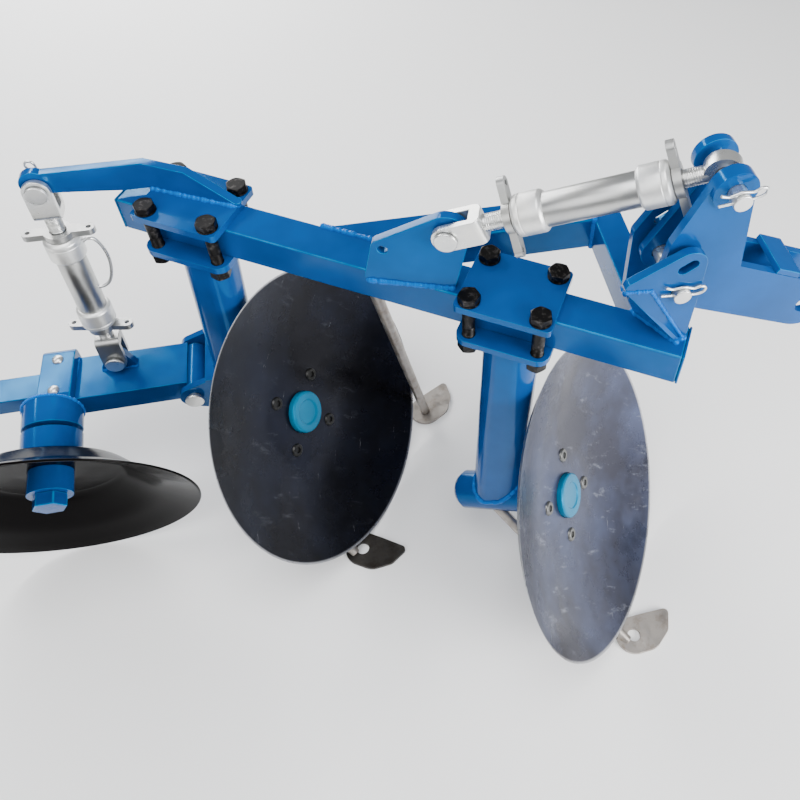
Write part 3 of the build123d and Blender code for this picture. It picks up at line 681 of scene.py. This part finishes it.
def grown(name, base, tree, values):
    """The plain mesh that a node tree makes from a base mesh."""
    holder = placed(name, base)
    modifier = holder.modifiers.new("grow", "NODES")
    modifier.node_group = tree
    for item in tree.interface.items_tree:
        if item.in_out == "INPUT" and item.name in values:
            modifier[item.identifier] = values[item.name]
    mesh = plain_mesh(holder)
    mesh.name = name
    return mesh


def path_mesh(name, paths):
    bm = bmesh.new()
    for path in paths:
        spots = [bm.verts.new(p) for p in path]
        for one, two in zip(spots, spots[1:]):
            bm.edges.new((one, two))
    mesh = bpy.data.meshes.new(name)
    bm.to_mesh(mesh)
    bm.free()
    return mesh


def repeated(name, sample, spots, material):
    """Copies of a sample mesh, drawn about +Z, at places that each face a way and have a spin."""
    base = bpy.data.meshes.new(name + "_spots")
    base.from_pydata([tuple(spot[0]) for spot in spots], [], [])
    base.attributes.new("facing", "FLOAT_VECTOR", "POINT")
    base.attributes.new("spin", "FLOAT", "POINT")
    for i, spot in enumerate(spots):
        base.attributes["facing"].data[i].vector = spot[1]
        base.attributes["spin"].data[i].value = spot[2] if len(spot) > 2 else 0.0
    holder = placed(name + "_sample", sample)
    mesh = grown(name, base, scatter_tree(), {"Piece": holder, "Finish": material})
    bpy.data.objects.remove(holder)
    return mesh


def thread(name, at, axis, start, end, radius, material):
    """A thread along an axis, from start to end in mm."""
    pitch = detail().thread_pitch
    values = {"Turns": (end - start) / pitch, "Radius": radius * MM, "Height": (end - start) * MM,
              "Ridge": pitch * 0.36 * MM, "Finish": material}
    mesh = grown(name, bpy.data.meshes.new(name + "_start"), thread_tree(), values)
    place = Matrix.Translation(at + Vector(axis) * start * MM) @ upright(axis).to_4x4()
    mesh.transform(place)
    return mesh


def seam(node, at, normal):
    """The closed line on which a solid meets a plane."""
    normal = Vector(normal).normalized()
    first = normal.orthogonal().normalized()
    second = normal.cross(first)
    spots = []
    for vert in frame["nodes"][node].data.vertices:
        if abs((vert.co - at).dot(normal)) < ON_PLANE:
            spots.append(vert.co.copy())
    flat = [((p - at).dot(first), (p - at).dot(second)) for p in spots]
    order = geometry.convex_hull_2d(flat)
    ring = [spots[i] for i in order]
    return ring + ring[:1]


def weld(name, body, paths, width=None):
    """Weld beads along paths on one body."""
    # The beads' paint is the frame blue made twice as light: a painted highlight, so that the ripples glint
    coat = gloss_paint(name + "_paint", scaled(paint().blue, 2.0))
    values = {"Pitch": detail().bead_pitch * MM, "Width": (width or detail().bead) * MM, "Finish": coat}
    mesh = grown(name, path_mesh(name + "_path", paths), bead_tree(), values)
    return add_object(name, mesh, coat, body)


# The round left on a hexagon's end, as a share of its flats, and the slope of its turned corners in degrees
HEX_TOP = 0.96
HEX_CONE = 30.0


def hex_reach(angle, flat_r):
    """How far a hexagon reaches at an angle, from half its size across flats."""
    sector = (angle + math.pi / 6) % (math.pi / 3) - math.pi / 6
    return flat_r / math.cos(sector)


def add_hex(bm, across, low, high, top_cone=True, low_cone=False, around=48):
    """A hexagon about +Z whose corners are turned off at the top or the bottom."""
    flat_r = across / 2
    top_r = flat_r * HEX_TOP
    rise = math.tan(math.radians(HEX_CONE))
    angles = [2 * math.pi * k / around for k in range(around)]

    def vertex(angle, reach, z):
        return bm.verts.new(Vector((reach * math.cos(angle), reach * math.sin(angle), z)) * MM)

    def ring(level, cone):
        spots = []
        for angle in angles:
            reach = hex_reach(angle, flat_r)
            spots.append(vertex(angle, reach, level + cone * (reach - top_r) * rise))
        return spots

    def circle(level):
        return [vertex(angle, top_r, level) for angle in angles]

    rings = [circle(low)] if low_cone else []
    rings.append(ring(low, 1.0 if low_cone else 0.0))
    rings.append(ring(high, -1.0 if top_cone else 0.0))
    if top_cone:
        rings.append(circle(high))
    for one, two in zip(rings, rings[1:]):
        for k in range(around):
            n = (k + 1) % around
            bm.faces.new((one[k], one[n], two[n], two[k]))
    bm.faces.new(list(reversed(rings[0])))
    bm.faces.new(rings[-1])


# Discs
DISC_R = 230.0
DISC_DEPTH = 46.0
DISC_WALL = 5.0
DISC_FLAT = 76.0
DISC_EYE = 34.0
CURVE_POWER = 1.6
CURVE_STEPS = 26
BEVEL_R = DISC_R - 6.0
BEVEL_BACK = -3.0
BACK_R = DISC_R - 14.0
CAP_R = 33.0
CAP_ROOT = 4.0
CAP_RISE = 9.0
CAP_WELL_R = 20.0
CAP_WELL = 1.6
SCREW_CIRCLE_R = 61.0
SCREWS = 4
SCREW_R = 9.5
SCREW_H = 3.0
SOCKET_R = 5.2
SOCKET_FLAT = 0.9
SOCKET_FLOOR = 0.6
# Each unit's first screw, in degrees about its disc, and a factor on its steel's colour that paints light and
# shade: painted shade on the rear disc, a painted reflection on the front
DISC_UNITS = (("rear", -4.0, 0.6), ("front", 21.0, 3.0))


def blade_outline():
    """Flat middle, dish that steepens outwards, bevel ground behind the rim."""
    inside = []
    outside = []
    for i in range(CURVE_STEPS + 1):
        t = i / CURVE_STEPS
        a = -DISC_DEPTH + DISC_DEPTH * t ** CURVE_POWER
        r = DISC_FLAT + (DISC_R - DISC_FLAT) * t
        inside.append((a, r))
        outside.append((a - DISC_WALL, r))
    outside = [p for p in outside if p[1] < BACK_R]
    rim = [(0.0, DISC_R), (BEVEL_BACK, BEVEL_R)]
    return ([(-DISC_DEPTH, DISC_EYE)] + inside[:-1] + rim + outside[::-1]
            + [(-DISC_DEPTH - DISC_WALL, DISC_EYE)])


def cap_outline():
    """A hub cap with a shallow well in its top."""
    face = -DISC_DEPTH
    root = face - CAP_ROOT
    top = face + CAP_RISE
    return softened([(root, 0), (root, CAP_R), (top - 2, CAP_R), (top, CAP_R - 2.5), (top, CAP_WELL_R),
                     (top - CAP_WELL, CAP_WELL_R - 1.5), (top - CAP_WELL, 0)], 1.2, closed=False)


def socket_screw(name):
    """Flat-topped screw head with a hexagon socket."""
    bm = bmesh.new()
    profile = [(0.0, SCREW_R + 1.2), (SCREW_H - 0.6, SCREW_R), (SCREW_H, SCREW_R - 0.8), (SCREW_H, SOCKET_R),
               (SOCKET_FLOOR, SOCKET_R), (SOCKET_FLOOR, 0.0)]
    add_turned(bm, profile, ZERO, UP, closed=False, around=24)
    for vert in bm.verts:
        flat = math.hypot(vert.co.x, vert.co.y)
        if abs(flat - SOCKET_R * MM) < 1e-5:
            angle = math.atan2(vert.co.y, vert.co.x)
            reach = hex_reach(angle, SOCKET_R * MM * SOCKET_FLAT)
            vert.co.x = reach * math.cos(angle)
            vert.co.y = reach * math.sin(angle)
    return mesh_from(bm, name)


class PLOUGH_OT_discs(bpy.types.Operator):
    """Dished discs with their hubs, caps and screws"""
    bl_idname = "plough.discs"
    bl_label = "Discs"

    def execute(self, context):
        cap_paint = gloss_paint("cap_paint", paint().cap)
        for unit, phase, painted_light in DISC_UNITS:
            body = unit + "_disc"
            at = joint_at(unit + "_disc_spin")
            axis = joint_axis(unit + "_disc_spin")
            steel = disc_steel(unit + "_disc_steel", at, axis, painted_light)
            blade = turned_piece(unit + "_blade", blade_outline(), at, axis, steel, body)
            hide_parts(unit + "_disc")
            piece = turned_piece(unit + "_cap", cap_outline(), at, axis, cap_paint, body,
                                 closed=False)
            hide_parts(unit + "_disc_cap")
            finished_piece(unit + "_disc_hub", "blue_paint", 0.8)
            # The screws' steel follows the disc's factor of painted light: painted shade on the rear disc's
            # screws, a painted highlight on the front's
            screw_steel = plated(unit + "_screw_steel", scaled(paint().zinc, 0.07 * painted_light), 0.8, 0.3, 0.4)
            turn = upright(axis)
            spots = []
            for i in range(SCREWS):
                angle = math.radians(phase + 360 / SCREWS * i)
                circle = Vector((math.cos(angle), math.sin(angle), 0)) * SCREW_CIRCLE_R
                spots.append((at + turn @ (circle - UP * DISC_DEPTH) * MM, axis))
            mesh = repeated(unit + "_screws", socket_screw(unit + "_screw"), spots, screw_steel)
            add_object(unit + "_screws", mesh, screw_steel, body)
        return {"FINISHED"}


# Frame metalwork
# In the order in which they are finished
PAINTED_FRAME = ("main_beam", "beam_end_caps", "long_tube", "cross_tube", "rear_clamp_top",
                 "rear_clamp_bottom", "front_clamp_top", "front_clamp_bottom", "top_link_lug", "tail_bar",
                 "headstock_near_lug", "headstock_far_lug", "headstock_gusset", "tail_bracket",
                 "headstock_near_cheek", "headstock_far_cheek", "headstock_spacer", "headstock_strip",
                 "tail_arm", "tail_arm_lug", "wheel_block", "tail_stub", "rear_leg", "front_leg",
                 "rear_housing", "front_housing", "tail_wheel_spindle")
# Nodes whose edges are rounder than cut plate, in mm
ROUNDER = {"main_beam": 3.5, "long_tube": 3.5, "cross_tube": 3.0, "tail_arm": 3.0, "wheel_block": 2.0,
           "tail_bar": 1.6}


class PLOUGH_OT_frame(bpy.types.Operator):
    """Painted beams, plates, legs and headstock"""
    bl_idname = "plough.frame"
    bl_label = "Painted frame"

    def execute(self, context):
        for node in PAINTED_FRAME:
            finished_piece(node, "blue_paint", ROUNDER.get(node))
        return {"FINISHED"}


# The wheel's hat from rim to eye and back: along the axle and out from it
DISH_OUTLINE = ((0, 205), (12, 178), (22, 150), (48, 116), (60, 100), (62, 60), (62, 30), (57, 30), (57, 60),
                (55, 98), (44, 111), (18, 146), (8, 174), (-3, 203))
DISH_ROUND = 12.0


class PLOUGH_OT_tail_wheel(bpy.types.Operator):
    """Hat-shaped tail wheel with its hub and nut"""
    bl_idname = "plough.tail_wheel"
    bl_label = "Tail wheel"

    def execute(self, context):
        at = joint_at("tail_wheel_spin")
        axis = joint_axis("tail_wheel_spin")
        outline = softened(DISH_OUTLINE, DISH_ROUND, steps=6)
        enamel = finish_for("black_enamel")
        dish = turned_piece("tail_dish", outline, at, axis, enamel, "tail_wheel")
        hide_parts("tail_wheel_dish")
        finished_piece("tail_wheel_hub", "blue_paint", 1.6)
        finished_piece("tail_wheel_nut", "blue_paint", 2.2)
        return {"FINISHED"}


FOOT_EDGE = 0.8
# The rear foot's steel at a tenth of its brightness: painted shade, for the shadow it lies in by the rear
# disc
REAR_FOOT_PAINTED_SHADE = 0.1


class PLOUGH_OT_feet(bpy.types.Operator):
    """Bare steel prop and leaf-shaped feet"""
    bl_idname = "plough.feet"
    bl_label = "Prop and feet"

    def execute(self, context):
        for node in ("prop_foot", "prop_rod", "rear_foot_strut", "front_foot", "front_foot_strut"):
            finished_piece(node, "bare_steel", FOOT_EDGE)
        # The rear foot gets a darkened copy of the bare steel: painted shade
        finished_piece("rear_foot", "bare_steel", FOOT_EDGE, mill_steel("painted_shade_steel", REAR_FOOT_PAINTED_SHADE))
        return {"FINISHED"}


# Turnbuckles, drawn from the fork's pin along the link
LINK_FAR = {"top_link": "top_link_ear_pin", "tail_link": "tail_link_low_pin"}
BARREL_FROM = 82.0
BARREL_LEFT = {"top_link": 50.0, "tail_link": 76.0}
COLLAR_R = 24.0
COLLAR_L = 36.0
TUBE_R = 19.5
BORE_R = 11.0
THREAD_R = 9.5
FAR_THREAD_R = {"top_link": 9.0, "tail_link": 9.5}
SCREW_IN = 30.0
FORK_END = 46.0
FAR_END = {"top_link": 20.0, "tail_link": 46.0}
NUT_T = 10.0
TUBE_LAP = 2.0
ROD_EDGE = 2.4

# The wire loop on the tail link: along the link, away from it and to its side
WIRE_LOOP = ((98, 21, 0), (90, 30, 0), (98, 41, 3), (130, 47, 5), (164, 42, 4), (184, 30, 2), (182, 18, 0))
WIRE_R = 2.4


def link_frame(name):
    at = joint_at(name + "_tilt")
    along = joint_axis(name + "_screw")
    far = mid(LINK_FAR[name])
    main_axis = max(range(3), key=lambda i: abs(along[i]))
    length = (far[main_axis] - at[main_axis]) / along[main_axis] / MM
    return at, along, joint_axis(name + "_tilt"), length


def collar_outline(x0, way):
    """A collar from its outer end, its edges turned round and a fine line near the end."""
    steps = [(0.0, BORE_R), (0.0, COLLAR_R - 4.0), (4.0, COLLAR_R), (9.0, COLLAR_R), (9.6, COLLAR_R - 0.5),
             (10.4, COLLAR_R - 0.5), (11.0, COLLAR_R), (COLLAR_L - 3.5, COLLAR_R), (COLLAR_L, COLLAR_R - 3.5),
             (COLLAR_L, BORE_R)]
    return softened([(x0 + way * a, r) for a, r in steps], 1.6, steps=3)


class PLOUGH_OT_links(bpy.types.Operator):
    """Turnbuckles with their forks, barrels, lock nuts and screws"""
    bl_idname = "plough.links"
    bl_label = "Turnbuckles"

    def execute(self, context):
        zinc = finish_for("zinc")
        satin = satin_zinc()
        dull = dull_zinc()
        bright_tube = polished_tube()
        for link in ("top_link", "tail_link"):
            at, along, side, length = link_frame(link)
            end = length - BARREL_LEFT[link]
            first = BARREL_FROM + COLLAR_L - TUBE_LAP
            last = end - COLLAR_L + TUBE_LAP
            shell = softened([(first, BORE_R), (first, TUBE_R), (last, TUBE_R), (last, BORE_R)], 0.5, steps=2)
            tube = turned_piece(link + "_tube", shell, at, along, bright_tube, link)
            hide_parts(link + "_barrel")
            bm = bmesh.new()
            add_turned(bm, collar_outline(BARREL_FROM, 1.0), at, along)
            add_turned(bm, collar_outline(end, -1.0), at, along)
            add_object(link + "_collars", mesh_from(bm, link + "_collars"), satin, link)
            finished_piece(link + "_fork", "zinc", ROD_EDGE)
            finished_piece(link + "_lock_nuts", "zinc", 2.0, dull)
            finished_piece(link + "_rod", "zinc", ROD_EDGE, dull if link == "tail_link" else None)
            near = thread(link + "_near_thread", at, along, FORK_END, BARREL_FROM - NUT_T, THREAD_R, zinc)
            add_object(link + "_near_thread", near, zinc, link, ROUND_SHARP)
            inside = end + NUT_T - SCREW_IN
            tip = length - FAR_END[link]
            far = thread(link + "_far_thread", at, along, inside, tip, FAR_THREAD_R[link], zinc)
            add_object(link + "_far_thread", far, zinc, link + "_rod", ROUND_SHARP)
        at, along, side = link_frame("tail_link")[:3]
        out = along.cross(side)
        spots = [at + (along * x + out * w + side * s) * MM for x, w, s in WIRE_LOOP]
        wire = wire_mesh("tail_link_wire", spots, WIRE_R)
        add_object("tail_link_wire", wire, zinc, "tail_link")
        return {"FINISHED"}


# Pins and bolts
BOLT_SPACING = (88.0, 74.0)
BOLT_AF = 24.0
BOLT_R = 8.0
BOLT_HEAD = 9.5
BOLT_NUT = 12.5
BOLT_END = 18.0
BOLT_PLAIN = 0.62
BOLT_THREAD = 2.0
THREAD_END = 17.0
# Turn of the first bolt's hexagon and step to the next, in radians
BOLT_SPIN = (0.35, 1.3)
WASHER_R = 13.6
WASHER_T = 2.2
BLOCK_HEADS = (-32.0, 26.0)
BLOCK_HEAD_R = 8.5
BLOCK_HEAD_H = 5.5
PINS = ("top_link_pin", "tail_link_top_pin", "tail_link_low_pin", "headstock_pin", "top_link_ear_pin",
        "tail_arm_pin")
PIN_EDGE = 1.2

# A hairpin of wire: across its pin and up. Then each clip's pin, body, side of the pin and turn in degrees
CLIP_SHAPE = ((-24, 0), (-8, 0), (8, 0), (18, 0), (25, 3), (26, 10), (19, 13), (13, 9), (7, 10), (0, 12.5),
              (-8, 10.5), (-15, 9), (-22, 13))
CLIP_R = 1.6
CLIP_IN_NEAR = 5.0
CLIP_IN_FAR = 3.5
CLIPS = (("top_link_ear_pin", "headstock", True, 8.0), ("headstock_pin", "frame", True, -6.0),
         ("tail_link_top_pin", "frame", False, 84.0))


def clamp_bolt(name, grip):
    """Hexagon bolt with washers and nut; zero is the top of the clamp, grip the height of the clamp in mm."""
    bm = bmesh.new()
    under = -grip - WASHER_T
    for level in (0.0, under):
        top = level + WASHER_T
        ring = softened([(level, BOLT_R), (level, WASHER_R), (top, WASHER_R), (top, BOLT_R)], 0.5, steps=2)
        add_turned(bm, ring, ZERO, UP, around=40)
    add_hex(bm, BOLT_AF, WASHER_T, WASHER_T + BOLT_HEAD)
    add_hex(bm, BOLT_AF, under - BOLT_NUT, under, top_cone=False, low_cone=True)
    shank = [(0.0, 0.0), (0.0, BOLT_R)]
    level = -grip * BOLT_PLAIN
    while level > -grip - THREAD_END:
        groove = (level - BOLT_THREAD / 2, BOLT_R - 0.8)
        shank += [(level, BOLT_R), groove, (level - BOLT_THREAD, BOLT_R)]
        level -= BOLT_THREAD
    shank += [(-grip - BOLT_END, BOLT_R - 1.5), (-grip - BOLT_END, 0.0)]
    add_turned(bm, shank, ZERO, UP, closed=False, around=32)
    return mesh_from(bm, name)


def button_head(name, radius, height):
    bm = bmesh.new()
    dome = [(height * math.sin(a), radius * math.cos(a)) for a in (0.0, 0.35, 0.7, 1.05, 1.35)]
    add_turned(bm, dome + [(height, 0.0)], ZERO, UP, closed=False, around=32)
    return mesh_from(bm, name)


def spring_clip(name, at, turn):
    """A hairpin of wire across a pin that lies along Y, turned about that pin in degrees."""
    c = math.cos(math.radians(turn))
    s = math.sin(math.radians(turn))
    spots = [at + Vector((x * c - z * s, 0, x * s + z * c)) * MM for x, z in CLIP_SHAPE]
    return wire_mesh(name, spots, CLIP_R)


class PLOUGH_OT_pins(bpy.types.Operator):
    """Pins, clamp bolts and spring clips"""
    bl_idname = "plough.pins"
    bl_label = "Pins and bolts"

    def execute(self, context):
        zinc = finish_for("zinc")
        black = finish_for("black_bolt")
        for node in PINS:
            finished_piece(node, "zinc", PIN_EDGE)
        for unit, clamp in (("rear", REAR_CLAMP), ("front", FRONT_CLAMP)):
            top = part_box(unit + "_clamp_top")[1].z
            grip = (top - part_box(unit + "_clamp_bottom")[0].z) / MM
            spots = []
            for i, (sx, sy) in enumerate(((-1, -1), (-1, 1), (1, -1), (1, 1))):
                spot = Vector((clamp.x, clamp.y, top)) + ALONG * sx * BOLT_SPACING[0] / 2 * MM
                spot += ACROSS * sy * BOLT_SPACING[1] / 2 * MM
                spots.append((spot, UP, BOLT_SPIN[0] + BOLT_SPIN[1] * i))
            mesh = repeated(unit + "_bolts", clamp_bolt(unit + "_bolt", grip), spots, black)
            piece = add_object(unit + "_bolts", mesh, black, "frame", BOLT_SHARP)
            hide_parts(unit + "_clamp_bolts")
        for node, body, near, turn in CLIPS:
            low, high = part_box(node)
            spot = mid(node)
            spot.y = low.y + CLIP_IN_NEAR * MM if near else high.y - CLIP_IN_FAR * MM
            clip = spring_clip(node + "_clip", spot, turn)
            add_object(node + "_clip", clip, zinc, body)
        middle = mid("wheel_block")
        block_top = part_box("wheel_block")[1].z
        heads = [(Vector((middle.x, middle.y + y * MM, block_top)), UP) for y in BLOCK_HEADS]
        mesh = repeated("block_heads", button_head("block_head", BLOCK_HEAD_R, BLOCK_HEAD_H), heads, zinc)
        add_object("block_heads", mesh, zinc, "tail_arm", ROUND_SHARP)
        return {"FINISHED"}


# Welds
HOUSING_R = 30.0
THIN_BEAD = 5.0
# The tail bar's edge on the rear clamp: along the beam and to its left
BAR_SEAM = ((-58.0, 1.6), (56.0, 9.0), (59.0, 15.0), (56.0, 21.0), (-58.0, 13.6))
# The bead down the near headstock lug: steps from its left corner, and one from its heel on the beam
FOLD_FROM_CORNER = ((2, 0, -4), (30, 0, -7))
FOLD_FROM_HEEL = (-4, 0, 3)


def leg_foot(unit):
    """The line on which a leg meets its round bearing housing."""
    at = joint_at(unit + "_disc_spin")
    axis = joint_axis(unit + "_disc_spin")
    spots = []
    for vert in frame["nodes"][unit + "_leg"].data.vertices:
        away = vert.co - at
        gap = (away - axis * away.dot(axis)).length
        if abs(gap - HOUSING_R * MM) < ON_ROUND:
            spots.append(vert.co.copy())
    middle = sum(spots, Vector()) / len(spots)
    outer = {}
    for spot in spots:
        angle = int(math.degrees(math.atan2(spot.y - middle.y, spot.x - middle.x)) // 10)
        reach = (spot - middle).xy.length
        if angle not in outer or reach > outer[angle][0]:
            outer[angle] = (reach, spot)
    ring = [outer[key][1] for key in sorted(outer)]
    return ring + ring[:1]


class PLOUGH_OT_welds(bpy.types.Operator):
    """Weld beads where plates and tubes meet"""
    bl_idname = "plough.welds"
    bl_label = "Welds"

    def execute(self, context):
        beam_top = Vector((0, 0, BEAM_TOP))
        plate_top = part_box("rear_clamp_top")[1].z
        far_side = on_beam(0, BEAM_HALF, BEAM_TOP)
        plates = ("top_link_lug", "headstock_near_lug", "headstock_far_lug", "headstock_gusset")
        paths = [seam(node, beam_top, UP) for node in plates]
        paths.append([on_beam(x, y, plate_top) for x, y in BAR_SEAM])
        paths += [seam(node, far_side, ACROSS) for node in ("cross_tube", "long_tube")]
        paths.append(seam("long_tube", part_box("long_tube")[1], TRAVEL))
        for unit in ("rear", "front"):
            plate_low = Vector((0, 0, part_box(unit + "_clamp_bottom")[0].z))
            paths.append(seam(unit + "_leg", plate_low, UP))
            paths.append(leg_foot(unit))
        weld("frame_welds", "frame", paths)
        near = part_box("headstock_near_lug")[0].y
        lug = [v.co.copy() for v in frame["nodes"]["headstock_near_lug"].data.vertices]
        face = [spot for spot in lug if spot.y < near + ON_LUG_FACE]
        corner = min(face, key=lambda spot: spot.x)
        heel = max((spot for spot in face if spot.z < BEAM_TOP + ON_BEAM), key=lambda spot: spot.x)
        fold = [corner + Vector(step) * MM for step in FOLD_FROM_CORNER]
        fold.append(heel + Vector(FOLD_FROM_HEEL) * MM)
        weld("lug_welds", "frame", [fold], THIN_BEAD)
        arm_top = Vector((0, 0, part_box("tail_arm_lug")[0].z))
        block_low, block_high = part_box("wheel_block")
        tail = [seam("tail_arm_lug", arm_top, UP), seam("tail_wheel_spindle", block_low, LEFT),
                seam("tail_arm", block_high, TRAVEL), seam("tail_stub", block_low, TRAVEL)]
        weld("tail_welds", "tail_arm", tail, THIN_BEAD)
        return {"FINISHED"}


# Stage
CAMERA_AT = (0.057, -0.663, 1.3283)
CAMERA_HEADING = math.radians(14.7)
CAMERA_DOWN = math.radians(49.7)
CAMERA_ROLL = math.radians(-3.1)
FRAME_MM = 36.0
SHIFT_X = -0.125
SHIFT_Y = -0.1075
FLOOR_REACH = 14.0
FLOOR_DROP = 0.0005
SKY_COLOR = (0.94, 0.97, 1.0, 1.0)
LIGHT_AIM = Vector((0, 0, 0.35))
# Each light's place, its width and height, all in metres, and its share of the key light's power
LIGHTS = (("key", (2.2, -2.0, 1.3), (1.5, 1.5), 1.0), ("fill", (-1.8, -1.6, 2.2), (2.0, 2.0), 0.25),
          ("top", (0.0, -0.6, 3.2), (2.0, 2.0), 0.55), ("back", (-0.6, 2.6, 1.0), (1.5, 1.5), 0.4),
          ("strip", (-1.5, 1.7, 2.2), (2.4, 0.22), 0.3))


class PLOUGH_OT_stage(bpy.types.Operator):
    """Pale floor, soft light and the camera"""
    bl_idname = "plough.stage"
    bl_label = "Stage"

    def execute(self, context):
        stage = context.scene.plough_stage
        floor_mesh = bpy.data.meshes.new("floor")
        corners = [(x * FLOOR_REACH, y * FLOOR_REACH, 0) for x, y in ((-1, -1), (1, -1), (1, 1), (-1, 1))]
        floor_mesh.from_pydata(corners, [], [(0, 1, 2, 3)])
        material = shader("floor", tuple(stage.floor), 0.0, 0.7)[0]
        floor_mesh.materials.append(material)
        floor = placed("floor", floor_mesh)
        floor.location.z = -FLOOR_DROP
        world = bpy.data.worlds.new("studio")
        world.use_nodes = True
        background = world.node_tree.nodes["Background"]
        background.inputs["Color"].default_value = SKY_COLOR
        background.inputs["Strength"].default_value = stage.sky
        context.scene.world = world
        for name, at, size, share in LIGHTS:
            data = bpy.data.lights.new(name, "AREA")
            data.shape = "RECTANGLE"
            data.size, data.size_y = size
            data.energy = stage.key * share
            lamp = placed(name, data)
            lamp.location = at
            lamp.rotation_euler = (LIGHT_AIM - Vector(at)).to_track_quat("-Z", "Y").to_euler()
        data = bpy.data.cameras.new("camera")
        data.sensor_width = FRAME_MM
        data.lens = stage.lens
        data.shift_x = SHIFT_X
        data.shift_y = SHIFT_Y
        camera = placed("camera", data)
        forward = Vector((math.sin(CAMERA_HEADING) * math.cos(CAMERA_DOWN),
                          math.cos(CAMERA_HEADING) * math.cos(CAMERA_DOWN), -math.sin(CAMERA_DOWN)))
        right = Vector((math.cos(CAMERA_HEADING), -math.sin(CAMERA_HEADING), 0.0))
        down = forward.cross(right)
        side = right * math.cos(CAMERA_ROLL) + down * math.sin(CAMERA_ROLL)
        low = down * math.cos(CAMERA_ROLL) - right * math.sin(CAMERA_ROLL)
        turn = Matrix((side, -low, -forward)).transposed()
        camera.matrix_world = Matrix.Translation(Vector(CAMERA_AT)) @ turn.to_4x4()
        context.scene.camera = camera
        return {"FINISHED"}


class PLOUGH_PT_panel(bpy.types.Panel):
    """Steps that finish the plough"""
    bl_label = "Disc plough"
    bl_idname = "PLOUGH_PT_panel"
    bl_space_type = "VIEW_3D"
    bl_region_type = "UI"
    bl_category = "Plough"

    def draw(self, context):
        layout = self.layout
        for operator in STEPS:
            layout.operator(operator.bl_idname)
        for group in ("plough_paint", "plough_detail", "plough_stage"):
            settings = getattr(context.scene, group)
            box = layout.box()
            for key in settings.__annotations__:
                box.prop(settings, key)


GROUPS = (("plough_paint", PloughPaint), ("plough_detail", PloughDetail), ("plough_stage", PloughStage))
STEPS = (PLOUGH_OT_frame, PLOUGH_OT_discs, PLOUGH_OT_tail_wheel, PLOUGH_OT_links, PLOUGH_OT_pins,
         PLOUGH_OT_welds, PLOUGH_OT_feet, PLOUGH_OT_stage)


def register():
    for name, group in GROUPS:
        bpy.utils.register_class(group)
        setattr(bpy.types.Scene, name, PointerProperty(type=group))
    for operator in STEPS:
        bpy.utils.register_class(operator)
    bpy.utils.register_class(PLOUGH_PT_panel)


def unregister():
    bpy.utils.unregister_class(PLOUGH_PT_panel)
    for operator in reversed(STEPS):
        bpy.utils.unregister_class(operator)
    for name, group in reversed(GROUPS):
        delattr(bpy.types.Scene, name)
        bpy.utils.unregister_class(group)


def main():
    register()
    for operator in STEPS:
        group, name = operator.bl_idname.split(".")
        getattr(getattr(bpy.ops, group), name)()


if __name__ == "__main__":
    main()
